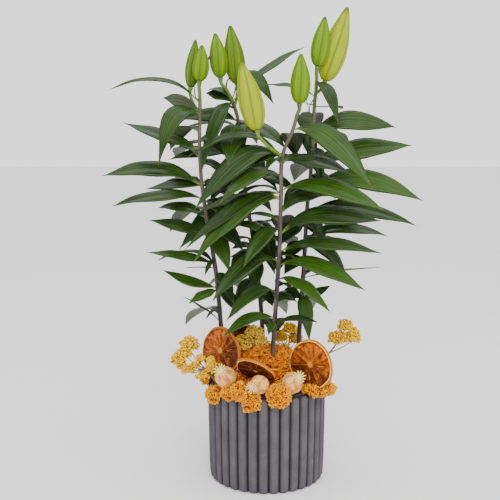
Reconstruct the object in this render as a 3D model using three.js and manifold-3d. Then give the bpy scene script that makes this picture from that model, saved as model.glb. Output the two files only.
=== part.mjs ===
// A potted lily in bud: a fluted concrete pot, four leafy stems, and a dressing of dried fruit and flowers.
// Millimetres, +Z up. The pot's underside is centred on the origin, and the front faces -Y.

import * as THREE from 'three';
import { mergeVertices } from 'three/addons/utils/BufferGeometryUtils.js';
import Module from 'manifold-3d';

const wasm = await Module();
wasm.setup();

// Pot
const POT_HEIGHT = 115;
const FLUTES = 34;
const FLUTE_TURN = 6.5; // degrees from +X to the first groove
const FLUTE_ROUND = [0, 0.87, 1, 0.87]; // height of a half-round flute, from one groove to the next
const POT_PROFILE = [ // height, radius over the crests, depth of the grooves
  [0, 64, 0.8],
  [6, 68.4, 2.8],
  [104, 70.3, 2.8],
  [112, 69, 1.6],
  [POT_HEIGHT, 66.4, 0],
];
const POT_BORE_TOP = 60.5;
const POT_BORE_FOOT = 58;
const POT_FLOOR = 9;
const BORE_SIDES = 36;

// Soil and moss
const GAP = 0.3; // between pieces that touch
const SOIL_TOP = 104;
const MOSS_RADIUS = 59.6;
const MOSS_EDGE = 113; // height of the moss beside the pot's wall
const MOSS_RISE = 43; // from there to the middle of the mound
const MOSS_RINGS = 5;
const MOSS_SIDES = 24;
const MOSS_ROUGHNESS = 2.6;
const MOSS_ROUNDING = 0.75; // under 1 makes the mound fuller towards its edge

// Stems
const STEM_FOOT_RADIUS = 3.3;
const STEM_TOP_RADIUS = 2.1;
const STEM_SIDES = 6;
const STEM_STEPS = 9;
const STALK_RADIUS = 1.9; // where a bud's stalk leaves its stem
const BUD_SEAT_RADIUS = 3.2; // the swelling that a bud sits on
const BUD_SEAT_LENGTH = 7;

// Leaves
const LONG_LEAF = 100; // a leaf that reaches further has more sections
const LONG_STATIONS = [0, 0.12, 0.3, 0.52, 0.78];
const SHORT_STATIONS = [0, 0.24, 0.48, 0.76];
const LEAF_HALF_THICKNESS = 0.6;
const LEAF_ROOT_HALF_WIDTH = 1.5;
const LEAF_FULLNESS = 5.56; // brings the outline's greatest value to 1
const LEAF_ROOT_TAPER = 1.1;
const LEAF_TIP_TAPER = 1.4;
const LEAF_SKEW = 0.35; // moves the top of a leaf's arch towards its root
const CHANNEL_AT_ROOT = 0.32; // how far a leaf's edges rise, as a share of its half width
const CHANNEL_AT_MIDDLE = 0.08;

// Buds
const BUD_SIDES = 12;
const BUD_RIDGES = [1.05, 0.94, 1, 0.94]; // three broad ribs and three narrow ones, with seams between
const BUD_PROFILE = [ // share of the length, share of the greatest radius
  [0, 0.34],
  [0.1, 0.74],
  [0.36, 1],
  [0.64, 0.8],
  [0.88, 0.34],
];

// The stems: height, then x and y there
const STEMS = {
  front: [[60, 3, -22], [160, 7, -22], [270, 13.5, -22], [340, 15.5, -22], [385, 17, -22], [415, 29, -21],
    [444, 36, -20]],
  left: [[60, -48, 4], [183, -55, 5], [250, -61, 5], [303, -70, 5], [356, -77, 5], [403, -79, 4],
    [432, -78, 3], [470, -78, -2]],
  back: [[60, 0, 27], [175, -5, 30], [245, -11, 30], [367, -29, 30], [420, -33, 30], [446, -40, 29],
    [476, -55, 25]],
  right: [[60, 36, 8], [162, 39, 8], [250, 44, 8], [329, 48, 8], [372, 52, 8], [444, 55, 7], [460, 56.5, 5],
    [487, 57.5, 0]],
};

// The leaves that the front shows: height of the root, direction in degrees from +X, reach, fall, arch,
// width, and how many degrees the blade turns to face the front. An eighth value stands in for LEAF_SKEW.
const FRONT_LEAVES = {
  front: [
    [196, 205, 67, 16, 10, 24, 20], [226, 210, 68, 27, 15, 26, 20], [263, 205, 84, 41, 18, 30, 25],
    [334, 195, 104, 70, 22, 36, 30], [337, 175, 102, 20, 8, 20, -35], [360, 215, 85, 27, 16, 31, 25],
    [381, 197, 103, 56, 25, 37, 28], [382, 178, 110, 0, 26, 18, 22], [283, 165, 62, -23, 9, 22, 15],
    [309, 150, 65, 2, 9, 18, 14], [377, -15, 81, 13, 8, 30, 28], [345, -20, 120, 20, 14, 32, 36],
    [294, -8, 116, -18, 15, 31, 38, 0.7], [274, -12, 119, -2, 10, 28, 27, 0.6],
    [258, -22, 104, 22, 12, 30, 26, 0.6], [242, -40, 75, 30, 11, 28, 10], [186, -20, 54, -9, 8, 16, 20],
    [213, 25, 30, 2, 9, 21, 25], [192, 230, 12, 14, 4, 12, 0], [374, 240, 36, 6, 10, 18, -20],
    [413, -25, 95, 62, 19, 33, 40], [318, 10, 58, -20, 12, 30, 30],
  ],
  left: [
    [186, 170, 47, -30, 3, 9, 0], [203, 220, 22, 12, 4, 9, 0], [225, 205, 38, 14, 2, 20, 20],
    [228, 178, 67, -21, -3, 20, 25], [251, 170, 37, 0, 1, 10, 0], [256, 183, 82, -15, 3, 22, 24],
    [294, -55, 44, 42, 10, 27, 0], [290, 180, 72, -19, 2, 27, 28], [310, 165, 62, -12, 8, 23, 24],
    [333, 188, 108, 7, 8, 28, 25], [349, 160, 75, 5, 3, 23, 36], [349, 183, 117, -12, 14, 31, 34],
    [391, 172, 93, -32, 1, 30, 28], [436, 218, 58, 64, 29, 36, 20, -0.5], [437, 155, 50, -15, 0, 30, -50],
    [444, 178, 109, -15, 21, 13, 25], [348, 8, 33, 8, 4, 23, 25],
  ],
  back: [
    [448, 8, 90, -66, 8, 20, 25], [449, -21, 53, 6, 30, 23, 42], [417, -33, 65, 25, 10, 33, 20],
    [417, -100, 69, 44, 14, 32, 0], [438, 185, 28, -1, 4, 18, 20], [417, 172, 76, 3, 8, 22, 15],
    [337, 190, 82, 65, 10, 34, 38], [270, 185, 29, -1, 6, 18, 20], [260, 175, 33, 0, 4, 18, 20],
    [282, 190, 47, 9, 6, 20, -20], [255, 265, 30, 34, 10, 20, 0], [443, 228, 58, 82, 24, 28, 0],
    [450, 165, 30, -12, 6, 22, 20], [322, -102, 44, 12, 12, 27, 0], [378, -100, 44, 22, 14, 30, 0],
    [352, -8, 66, 14, 14, 28, 20], [246, 195, 38, 6, 10, 24, 20], [385, 180, 88, 6, 6, 27, 25],
    [338, -20, 34, 22, 6, 30, 15], [303, -30, 36, 26, 8, 28, 10],
  ],
  right: [
    [216, -72, 26, 50, 12, 20, 0], [212, 20, 39, -16, 0, 18, 15], [239, 8, 96, -11, 2, 15, 0],
    [273, -30, 56, 30, 14, 32, 10], [275, 25, 80, 0, 6, 16, 0], [285, 3, 101, -3, 12, 28, 26],
    [318, -5, 130, 16, 12, 29, 36], [342, -5, 134, 10, 19, 33, 42], [374, 3, 120, -22, 7, 33, 48],
    [414, 0, 97, -3, 9, 30, 48], [467, -40, 31, 46, 13, 29, 0], [379, 100, 24, -36, 2, 18, 0],
    [374, -50, 24, 14, 6, 12, 0], [421, 200, 23, -7, 2, 22, -60], [452, 178, 62, -14, 6, 16, 25],
    [303, -40, 28, 18, 4, 30, 0],
  ],
};

// The leaves behind, from the bottom up: the direction of each, clear of the other stems
const REAR_TURNS = {
  front: [89, 80, 88, 76, 84, 153, 76, 80],
  left: [120, 70, 150, 95, 122, 130, 110, 119],
  back: [68, 130, 85, 35, 110, 55, 145, 75],
  right: [78, 50, 62, 70, 30, 100, 60, 88],
};
const REAR_LOWEST = { front: 186, left: 194, back: 202, right: 210 };
const REAR_STEP = 31;
const REAR_REACH = { front: 80, left: 98, back: 98, right: 98 };
const REAR_REACH_SWING = 14; // the reach and the fall rise and drop from leaf to leaf
const REAR_FALL = 17;
const REAR_FALL_SWING = 16;
const REAR_ARCH = 14;
const REAR_WIDTH = 29;

// The buds: the stem, the height where the stalk leaves it, the bud's foot, its tip and its width.
// The last bud of each stem sits on the stem's own end.
const BUDS = {
  bud_front_upper: ['front', 444, [36, -20, 444], [37.3, -20, 499], 22.5],
  bud_front_lower: ['front', 383, [-12.5, -45, 414.3], [-30, -45, 488], 27],
  bud_left_upper: ['left', 470, [-78, -2, 470], [-74.9, -2, 510.4], 19],
  bud_left_rear: ['left', 432, [-89.6, 15, 464], [-83.3, 15, 518.5], 17],
  bud_back_upper: ['back', 476, [-55, 25, 476], [-61, 25, 527], 21],
  bud_back_rear: ['back', 442, [-35.6, 40, 470], [-43.8, 40, 538], 24],
  bud_right_upper: ['right', 487, [57.5, 0, 487], [65.5, 0, 542.4], 21.5],
  bud_right_rear: ['right', 456, [68, 18, 472], [93.1, 18, 555.7], 29],
};

// Dried orange slices: centre, direction that the face points in (turn from +X, then rise), lean, radius
const SLICES = {
  orange_slice_right: { at: [49.7, -48, 148], turn: -127, rise: 2, roll: 8, radius: 29.5 },
  orange_slice_middle: { at: [-13, -55, 143.6], turn: -118, rise: -51, roll: 0, radius: 24.3 },
  orange_slice_left: { at: [-54, -14, 155.5], turn: -133, rise: 6, roll: 20, radius: 29 },
  orange_slice_rear: { at: [-28, 43, 150], turn: 100, rise: 12, roll: 0, radius: 27 },
};
const SLICE_THICKNESS = 5;
const SLICE_SEGMENTS = 10;
const SLICE_WARP = 1.2;
const SLICE_RIM = 0.7; // the rind's thickness at its edge, as a share of the slice's
const SLICE_MIDDLE = 0.8;
const SLICE_RINGS = [ // share of the radius, height at a membrane, height between membranes
  [0.7, 0.72, 0.42],
  [0.88, 1, 1],
];

// Poppy seed heads: centre, the way the crown points, and radius
const POPPIES = {
  poppy_left: { at: [-47.8, -50, 133.4], towards: [-0.42, -0.55, 0.72], radius: 12.6 },
  poppy_middle: { at: [-9.7, -69, 130.4], towards: [-0.7, -0.7, -0.05], radius: 11 },
  poppy_right: { at: [27.9, -61, 130.4], towards: [0.5, -0.6, 0.62], radius: 12.3 },
  poppy_rear: { at: [22, 60, 132], towards: [0.3, 0.6, 0.74], radius: 12 },
};
const POPPY_SIDES = 10;
const POPPY_PROFILE = [ // height and radius, as shares of the head's radius
  [-1.2, 0.18],
  [-0.66, 0.75],
  [-0.05, 1],
  [0.6, 0.79],
  [1.06, 0.37],
];
const CROWN_RAYS = 10;
const CROWN_SHARE = 0.66; // the crown's radius over the head's
const CROWN_VALLEY = 0.3;
const CROWN_FOOT = 1.06; // height over the head's middle, as a share of its radius
const CROWN_THICKNESS = 1.4;

// Orange yarrow heads along the rim: centre and half sizes
const YARROWS = {
  yarrow_front_1: [[-62, -38.5, 110], [9, 10, 10]],
  yarrow_front_2: [[-45, -58.5, 117], [7.5, 8, 8]],
  yarrow_front_3: [[-32.5, -66, 122], [9, 8.5, 10.5]],
  yarrow_front_4: [[-19, -72, 112.5], [11, 9, 12.3]],
  yarrow_front_5: [[12, -71, 118], [13.2, 11, 13]],
  yarrow_right: [[58.5, -48, 120], [19.5, 11, 9.3]],
  yarrow_rear_1: [[68, 18, 118], [11, 12, 11]],
  yarrow_rear_2: [[48, 53, 118], [12, 12, 11]],
  yarrow_rear_3: [[2, 71, 118], [12, 11, 11]],
  yarrow_rear_4: [[-42, 57, 118], [12, 12, 11]],
  yarrow_rear_5: [[-70, 12, 118], [11, 12, 11]],
};
const LARGE_HEAD = 12.2; // a head with a greater half size has more florets
const FLORET_PEAK = 1.07;
const FLORET_VALLEY = 0.86;
const SAME_POINT = 0.05;
const SEAT_SPREAD = 1.07; // a faceted seat's flats must clear the head too

// Sprays of small yellow flowers: the stalk's foot in the moss, its fork, and the heads' centres and
// half sizes
const SPRAYS = {
  yellow_spray_left: {
    foot: [-50, -20, 112], fork: [-73, -25, 138],
    heads: [[[-91.6, -20, 164], [12, 9, 10.5]], [[-104, -22, 148], [9, 8, 10]], [[-94, -24, 135], [8, 7, 7]],
      [[-79, -26, 149], [6, 6, 6]], [[-65.5, -31, 143], [7, 6, 12]], [[-76, -34, 130], [8, 6, 5.5]]],
  },
  yellow_spray_right: {
    foot: [50, -4, 112], fork: [77, 0, 153],
    heads: [[[85, 1, 167], [12, 10, 10]], [[103, 0, 170], [9.5, 9, 11]], [[94, 2, 182], [10, 9, 8]]],
  },
  yellow_spray_middle: {
    foot: [-16, 8, 112], fork: [-17, 4, 159],
    heads: [[[-29, 1, 160], [12, 11, 12]], [[-8, 4, 160], [11, 9, 11]], [[-15, 3, 173], [12, 10, 9]]],
  },
  yellow_spray_rear: {
    foot: [26, 36, 112], fork: [28, 42, 146],
    heads: [[[19, 44, 159], [9, 9, 9]], [[37, 43, 157], [9, 9, 9]], [[30, 46, 169], [10, 9, 8]]],
  },
};
const SPRAY_STALK_RADIUS = 1.1;
const SPRAY_STALK_SIDES = 4;
const SPRAY_FORK = 0.92; // where the branches leave the stalk
const SPRAY_BRANCH_RADII = [0.9, 0.7];

const radians = THREE.MathUtils.degToRad;

// Solids: every body below is a list of rings of points, or a three.js geometry, turned into a solid

function solidOf(geometry) {
  const bare = geometry.clone();
  bare.deleteAttribute('normal');
  bare.deleteAttribute('uv');
  const merged = mergeVertices(bare, 1e-4);
  return new wasm.Manifold(new wasm.Mesh({
    numProp: 3,
    vertProperties: new Float32Array(merged.attributes.position.array),
    triVerts: new Uint32Array(merged.index.array),
  }));
}

function geometryOf(solid) {
  const mesh = solid.getMesh();
  const geometry = new THREE.BufferGeometry();
  geometry.setAttribute('position', new THREE.BufferAttribute(new Float32Array(mesh.vertProperties), 3));
  geometry.setIndex(new THREE.BufferAttribute(new Uint32Array(mesh.triVerts), 1));
  geometry.computeVertexNormals();
  return geometry;
}

// A closed body through rings of points. The first and last ring may be a single point, and are capped
// otherwise.
function loft(rings) {
  const points = [];
  const faces = [];
  const starts = rings.map((ring) => points.push(...ring) - ring.length);
  const sides = rings[1].length;
  const fan = (centre, start, forward) => {
    for (let j = 0; j < sides; j += 1) {
      const next = start + ((j + 1) % sides);
      faces.push(forward ? [centre, start + j, next] : [centre, next, start + j]);
    }
  };
  for (let i = 0; i + 1 < rings.length; i += 1) {
    const [a, b] = [starts[i], starts[i + 1]];
    if (rings[i].length === 1) {
      fan(a, b, true);
    } else if (rings[i + 1].length === 1) {
      fan(b, a, false);
    } else {
      for (let j = 0; j < sides; j += 1) {
        const k = (j + 1) % sides;
        // The two halves of the ring are split along mirrored diagonals, so a thin blade's faces stay apart
        if (j < sides / 2) faces.push([a + j, b + k, a + k], [a + j, b + j, b + k]);
        else faces.push([a + j, b + j, a + k], [a + k, b + j, b + k]);
      }
    }
  }
  const last = rings.length - 1;
  if (rings[0].length > 1) fan(points.push(middleOf(rings[0])) - 1, starts[0], true);
  if (rings[last].length > 1) fan(points.push(middleOf(rings[last])) - 1, starts[last], false);
  if (signedVolume(points, faces) < 0) faces.forEach((face) => face.reverse());
  const geometry = new THREE.BufferGeometry();
  geometry.setAttribute('position', new THREE.Float32BufferAttribute(points.flatMap((p) => p.toArray()), 3));
  geometry.setIndex(faces.flat());
  return solidOf(geometry);
}

function toVector(list) {
  return new THREE.Vector3(...list);
}

function middleOf(ring) {
  const sum = new THREE.Vector3();
  ring.forEach((point) => sum.add(point));
  return sum.divideScalar(ring.length);
}

function signedVolume(points, faces) {
  const cross = new THREE.Vector3();
  return faces.reduce((sum, [a, b, c]) => sum + points[a].dot(cross.crossVectors(points[b], points[c])), 0);
}

function circle(radius, height, sides, at = [0, 0]) {
  return Array.from({ length: sides }, (_, j) => {
    const angle = (2 * Math.PI * j) / sides;
    return new THREE.Vector3(at[0] + radius * Math.cos(angle), at[1] + radius * Math.sin(angle), height);
  });
}

// A round tube through a list of points, with a radius at each
function tube(path, radii, sides) {
  const reference = new THREE.Vector3(0, 1, 0);
  return loft(path.map((point, i) => {
    const along = path[Math.min(i + 1, path.length - 1)].clone().sub(path[Math.max(i - 1, 0)]).normalize();
    const across = new THREE.Vector3().crossVectors(reference, along).normalize();
    const up = new THREE.Vector3().crossVectors(along, across);
    return circle(radii[i], 0, sides).map((c) => point.clone()
      .addScaledVector(across, c.x)
      .addScaledVector(up, c.y));
  }));
}

function joined(solids) {
  return solids.reduce((whole, next) => whole.add(next));
}

// A flower head: an icosahedron with its edges split, whose corners and face centres stand out as florets
function flowerHead(centre, half) {
  const ball = new THREE.IcosahedronGeometry(1, Math.max(...half) > LARGE_HEAD ? 2 : 1);
  const florets = floretCentres();
  const position = ball.attributes.position;
  const point = new THREE.Vector3();
  for (let i = 0; i < position.count; i += 1) {
    point.fromBufferAttribute(position, i);
    const stands = florets.some((floret) => floret.distanceTo(point) < SAME_POINT);
    point.multiplyScalar(stands ? FLORET_PEAK : FLORET_VALLEY);
    point.multiply(toVector(half)).add(toVector(centre));
    position.setXYZ(i, ...point.toArray());
  }
  return solidOf(ball);
}

function floretCentres() {
  const position = new THREE.IcosahedronGeometry(1, 0).attributes.position;
  const centres = [];
  for (let i = 0; i < position.count; i += 3) {
    const corners = [0, 1, 2].map((k) => new THREE.Vector3().fromBufferAttribute(position, i + k));
    centres.push(...corners, middleOf(corners).normalize());
  }
  return centres;
}

// A smooth ball that clears a flower head, to cut its seat
function seatBall(centre, half) {
  const ball = new THREE.IcosahedronGeometry(1, 1);
  ball.scale(...half.map((size) => (size * FLORET_PEAK + GAP) * SEAT_SPREAD));
  ball.translate(...centre);
  return solidOf(ball);
}

// Pot and soil

function fluted([height, crest, depth]) {
  const steps = FLUTES * FLUTE_ROUND.length;
  return Array.from({ length: steps }, (_, j) => {
    const angle = (2 * Math.PI * j) / steps + radians(FLUTE_TURN);
    const radius = crest - depth * (1 - FLUTE_ROUND[j % FLUTE_ROUND.length]);
    return new THREE.Vector3(radius * Math.cos(angle), radius * Math.sin(angle), height);
  });
}

function pot() {
  const outside = loft(POT_PROFILE.map(fluted));
  const bore = loft([
    circle(POT_BORE_FOOT, POT_FLOOR, BORE_SIDES),
    circle(POT_BORE_TOP, POT_HEIGHT, BORE_SIDES),
    circle(POT_BORE_TOP, POT_HEIGHT + 1, BORE_SIDES),
  ]);
  return outside.subtract(bore);
}

// The pot's outline with its gap, to cut the heads that lie over the rim
function potEnvelope() {
  const above = POT_PROFILE.slice(2)
    .map(([height, crest]) => circle(crest + 2 * GAP, height + GAP, BORE_SIDES));
  return loft([circle(POT_PROFILE[1][1], 0, BORE_SIDES), ...above]);
}

function soil(stems) {
  const slope = (POT_BORE_TOP - POT_BORE_FOOT) / (POT_HEIGHT - POT_FLOOR);
  const foot = POT_FLOOR + GAP;
  const fit = (height) => POT_BORE_FOOT + slope * (height - POT_FLOOR) - 2 * GAP;
  const whole = loft([circle(fit(foot), foot, BORE_SIDES), circle(fit(SOIL_TOP), SOIL_TOP, BORE_SIDES)]);
  return stems.reduce((rest, stem) => rest.subtract(stemHole(stem)), whole);
}

// Stems and leaves

// The point of a stem at a height, by a smooth curve through its listed points
function stemAt(knots, height) {
  const last = knots.length - 2;
  let i = 0;
  while (i < last && height > knots[i + 1][0]) i += 1;
  const span = knots[i + 1][0] - knots[i][0];
  const t = (height - knots[i][0]) / span;
  const slope = (j, c) => {
    const [before, after] = [knots[Math.max(j - 1, 0)], knots[Math.min(j + 1, knots.length - 1)]];
    return (after[c] - before[c]) / (after[0] - before[0]);
  };
  const along = (c) => (2 * t ** 3 - 3 * t ** 2 + 1) * knots[i][c]
    + (t ** 3 - 2 * t ** 2 + t) * slope(i, c) * span
    + (3 * t ** 2 - 2 * t ** 3) * knots[i + 1][c]
    + (t ** 3 - t ** 2) * slope(i + 1, c) * span;
  return new THREE.Vector3(along(1), along(2), height);
}

function stemRadius(knots, height) {
  const share = (height - knots[0][0]) / (knots[knots.length - 1][0] - knots[0][0]);
  return THREE.MathUtils.lerp(STEM_FOOT_RADIUS, STEM_TOP_RADIUS, share);
}

function stemHole(name) {
  const knots = STEMS[name];
  const top = POT_HEIGHT + MOSS_RISE + 20;
  const heights = [knots[0][0] - GAP, SOIL_TOP, top];
  const radii = heights.map(() => STEM_FOOT_RADIUS + 2 * GAP);
  return tube(heights.map((h) => stemAt(knots, h)), radii, STEM_SIDES);
}

// Half of a leaf's width at a share of its length, as a share of its greatest half width
function leafOutline(share) {
  return LEAF_FULLNESS * share ** LEAF_ROOT_TAPER * (1 - share) ** LEAF_TIP_TAPER;
}

function leaf(root, [, turn, reach, fall, arch, width, face, skew = LEAF_SKEW]) {
  const heading = new THREE.Vector3(Math.cos(radians(turn)), Math.sin(radians(turn)), 0);
  const level = new THREE.Vector3(-heading.y, heading.x, 0);
  const lean = radians(face) * heading.x;
  const rings = (reach > LONG_LEAF ? LONG_STATIONS : SHORT_STATIONS).map((share) => {
    const swing = 1 - 2 * share;
    const rise = 4 * arch * share * (1 - share) * (1 + skew * swing);
    const centre = root.clone().addScaledVector(heading, reach * share);
    centre.z += rise - fall * share;
    const steep = 4 * arch * (swing * (1 + skew * swing) - 2 * skew * share * (1 - share)) - fall;
    const along = heading.clone().multiplyScalar(reach).setZ(steep).normalize();
    const over = new THREE.Vector3().crossVectors(along, level);
    const side = level.clone().multiplyScalar(Math.cos(lean)).addScaledVector(over, Math.sin(lean));
    const up = new THREE.Vector3().crossVectors(along, side);
    const half = Math.max((width / 2) * leafOutline(share), LEAF_ROOT_HALF_WIDTH * (1 - share));
    const fold = THREE.MathUtils.lerp(CHANNEL_AT_ROOT, CHANNEL_AT_MIDDLE, Math.sin(Math.PI * share));
    const edge = (sign) => centre.clone().addScaledVector(side, sign * half).addScaledVector(up, fold * half);
    const rib = (sign) => centre.clone().addScaledVector(up, sign * LEAF_HALF_THICKNESS);
    return [edge(-1), rib(1), edge(1), rib(-1)];
  });
  const tip = root.clone().addScaledVector(heading, reach);
  tip.z -= fall;
  return loft([...rings, [tip]]);
}

function rearLeaves(name) {
  return REAR_TURNS[name].map((turn, i) => {
    const height = REAR_LOWEST[name] + REAR_STEP * i;
    const reach = REAR_REACH[name] + REAR_REACH_SWING * Math.sin(2.4 * i);
    const fall = REAR_FALL + REAR_FALL_SWING * Math.sin(1.7 * i + 1);
    return [height, turn, reach, fall, REAR_ARCH, REAR_WIDTH, 0];
  });
}

// The swelling that a bud sits on, level with the bud's foot: its neck and its end
function budSeat([, , foot, tip]) {
  const along = toVector(tip).sub(toVector(foot)).normalize();
  const end = toVector(foot).addScaledVector(along, -GAP);
  return [end.clone().addScaledVector(along, -BUD_SEAT_LENGTH), end];
}

function stalk(row) {
  const start = stemAt(STEMS[row[0]], row[1]);
  const [neck, end] = budSeat(row);
  const radii = [STALK_RADIUS, STALK_RADIUS, STALK_RADIUS, BUD_SEAT_RADIUS];
  return tube([start, start.clone().lerp(neck, 0.5), neck, end], radii, STEM_SIDES);
}

function budsOf(name) {
  const top = STEMS[name].at(-1)[0];
  const own = Object.values(BUDS).filter(([stem]) => stem === name);
  const beside = own.filter(([, height]) => height < top);
  return { onTop: own.find(([, height]) => height === top), beside };
}

function stemTube(name) {
  const knots = STEMS[name];
  const first = knots[0][0];
  const last = knots.at(-1)[0] - 2 * BUD_SEAT_LENGTH;
  const heights = Array.from({ length: STEM_STEPS + 1 }, (_, i) => (
    first + ((last - first) * i) / STEM_STEPS));
  const path = [...heights.map((h) => stemAt(knots, h)), ...budSeat(budsOf(name).onTop)];
  const radii = [...heights.map((h) => stemRadius(knots, h)), STEM_TOP_RADIUS, BUD_SEAT_RADIUS];
  return tube(path, radii, STEM_SIDES);
}

function lilyStem(name) {
  const rows = [...FRONT_LEAVES[name], ...rearLeaves(name)];
  const leaves = rows.map((row) => leaf(stemAt(STEMS[name], row[0]), row));
  return joined([stemTube(name), ...budsOf(name).beside.map(stalk), ...leaves]);
}

function bud([, , foot, tip, width]) {
  const start = new THREE.Vector3(...foot);
  const axis = new THREE.Vector3(...tip).sub(start);
  const across = new THREE.Vector3().crossVectors(new THREE.Vector3(0, 1, 0), axis).normalize();
  const up = new THREE.Vector3().crossVectors(axis, across).normalize();
  const rings = BUD_PROFILE.map(([share, size]) => circle(1, 0, BUD_SIDES).map((c, j) => {
    const radius = (width / 2) * size * BUD_RIDGES[j % BUD_RIDGES.length];
    return start.clone().addScaledVector(axis, share)
      .addScaledVector(across, c.x * radius)
      .addScaledVector(up, c.y * radius);
  }));
  return loft([...rings, [start.clone().add(axis)]]);
}

// Dried orange slices

// Turns a body made about the origin, with its face along +Z, to its place
function placement({ at, turn, rise, roll }) {
  const [a, e] = [radians(turn), radians(rise)];
  const normal = new THREE.Vector3(Math.cos(a) * Math.cos(e), Math.sin(a) * Math.cos(e), Math.sin(e));
  const facing = new THREE.Quaternion().setFromUnitVectors(new THREE.Vector3(0, 0, 1), normal);
  const rolled = new THREE.Quaternion().setFromAxisAngle(normal, radians(roll)).multiply(facing);
  return new THREE.Matrix4().compose(new THREE.Vector3(...at), rolled, new THREE.Vector3(1, 1, 1));
}

function sliceRing(radius, height, between, side, matrix) {
  return Array.from({ length: 2 * SLICE_SEGMENTS }, (_, j) => {
    const angle = (Math.PI * j) / SLICE_SEGMENTS;
    const level = side * (j % 2 === 0 ? height : between) * (SLICE_THICKNESS / 2);
    const warp = SLICE_WARP * Math.cos(2 * angle) * (radius / SLICES.orange_slice_left.radius) ** 2;
    const point = new THREE.Vector3(radius * Math.cos(angle), radius * Math.sin(angle), level + warp);
    return point.applyMatrix4(matrix);
  });
}

function slice(place) {
  const matrix = placement(place);
  const face = (side) => SLICE_RINGS.map(([share, membrane, pulp]) => (
    sliceRing(share * place.radius, membrane, pulp, side, matrix)));
  const edge = (side) => sliceRing(place.radius, SLICE_RIM, SLICE_RIM, side, matrix);
  const core = (side) => {
    const level = side * SLICE_MIDDLE * (SLICE_THICKNESS / 2);
    return [new THREE.Vector3(0, 0, level).applyMatrix4(matrix)];
  };
  return loft([core(1), ...face(1), edge(1), edge(-1), ...face(-1).reverse(), core(-1)]);
}

function sliceSeat(place) {
  const matrix = placement(place);
  const half = SLICE_THICKNESS / 2 + SLICE_WARP + GAP;
  const rim = (height) => circle(place.radius + 3 * GAP, height, 2 * SLICE_SEGMENTS)
    .map((point) => point.applyMatrix4(matrix));
  return loft([rim(-half), rim(half)]);
}

// Poppy seed heads

function poppyMatrix({ at, towards }) {
  const up = new THREE.Vector3(...towards).normalize();
  const facing = new THREE.Quaternion().setFromUnitVectors(new THREE.Vector3(0, 0, 1), up);
  return new THREE.Matrix4().compose(new THREE.Vector3(...at), facing, new THREE.Vector3(1, 1, 1));
}

function poppy(place) {
  const matrix = poppyMatrix(place);
  const ring = ([height, size]) => circle(size * place.radius, height * place.radius, POPPY_SIDES)
    .map((point) => point.applyMatrix4(matrix));
  const base = place.radius * CROWN_FOOT;
  const star = (height, size) => Array.from({ length: 2 * CROWN_RAYS }, (_, j) => {
    const angle = (Math.PI * j) / CROWN_RAYS;
    const radius = place.radius * size * (j % 2 === 0 ? CROWN_SHARE : CROWN_VALLEY);
    return new THREE.Vector3(radius * Math.cos(angle), radius * Math.sin(angle), height).applyMatrix4(matrix);
  });
  const crown = loft([star(base, 1), star(base + CROWN_THICKNESS, 0.96)]);
  return loft(POPPY_PROFILE.map(ring)).add(crown);
}

function poppySeat(place) {
  const matrix = poppyMatrix(place);
  const ring = (height, size) => circle(size * place.radius + 2 * GAP, height, POPPY_SIDES)
    .map((point) => point.applyMatrix4(matrix));
  const head = POPPY_PROFILE.map(([height, size]) => ring(height * place.radius - GAP, size));
  const foot = place.radius * CROWN_FOOT - 2 * GAP;
  const crown = [foot, foot + CROWN_THICKNESS + 6 * GAP].map((height) => ring(height, CROWN_SHARE));
  return loft(head).add(loft(crown));
}

// Sprays

function spray({ foot, fork, heads }) {
  const radii = [SPRAY_STALK_RADIUS, SPRAY_STALK_RADIUS];
  const stem = tube([toVector(foot), toVector(fork)], radii, SPRAY_STALK_SIDES);
  const parting = toVector(foot).lerp(toVector(fork), SPRAY_FORK);
  const branches = heads.map(([centre]) => (
    tube([parting, toVector(centre)], SPRAY_BRANCH_RADII, SPRAY_STALK_SIDES)));
  const flowers = heads.map(([centre, half]) => flowerHead(centre, half));
  return joined([stem, ...branches, ...flowers]);
}

function spraySeat({ foot, fork }) {
  const radius = SPRAY_STALK_RADIUS + 2 * GAP;
  const along = toVector(fork).sub(toVector(foot)).normalize();
  const start = toVector(foot).addScaledVector(along, -GAP);
  return tube([start, toVector(fork).addScaledVector(along, MOSS_RISE)], [radius, radius], SPRAY_STALK_SIDES);
}

// Moss: a rough mound

function mossHeight(x, y) {
  const share = Math.min(Math.hypot(x, y) / MOSS_RADIUS, 1);
  const mound = MOSS_EDGE + MOSS_RISE * (1 - share ** 2) ** MOSS_ROUNDING;
  const rough = Math.sin(0.62 * x + 1.3 * Math.sin(0.31 * y)) * Math.cos(0.57 * y + 1.1 * Math.sin(0.37 * x));
  return mound + MOSS_ROUGHNESS * rough;
}

function moss(seats) {
  const rings = Array.from({ length: MOSS_RINGS }, (_, i) => (
    circle((MOSS_RADIUS * (i + 1)) / MOSS_RINGS, 0, MOSS_SIDES).map((p) => p.setZ(mossHeight(p.x, p.y)))));
  const top = [new THREE.Vector3(0, 0, mossHeight(0, 0))];
  const bed = loft([top, ...rings, circle(MOSS_RADIUS, SOIL_TOP + GAP, MOSS_SIDES)]);
  return seats.reduce((rest, seat) => rest.subtract(seat), bed);
}

// The whole arrangement

const paint = {
  concrete: { color: 0x55535a, roughness: 0.85 },
  earth: { color: 0x2e2119, roughness: 1 },
  orange_moss: { color: 0xa85a12, roughness: 1 },
  leaf: { color: 0x35542a, roughness: 0.45 },
  bud: { color: 0xa9bd3c, roughness: 0.5 },
  orange: { color: 0xb85a17, roughness: 0.6 },
  poppy: { color: 0xd8ab80, roughness: 0.85 },
  yarrow: { color: 0xe8951a, roughness: 0.95 },
  everlasting: { color: 0xe3bb38, roughness: 0.9 },
};

const lily = new THREE.Group();

function place(name, solid, look) {
  const material = new THREE.MeshStandardMaterial({ metalness: 0, ...paint[look] });
  const mesh = new THREE.Mesh(geometryOf(solid), material);
  mesh.name = name;
  lily.add(mesh);
}

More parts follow.
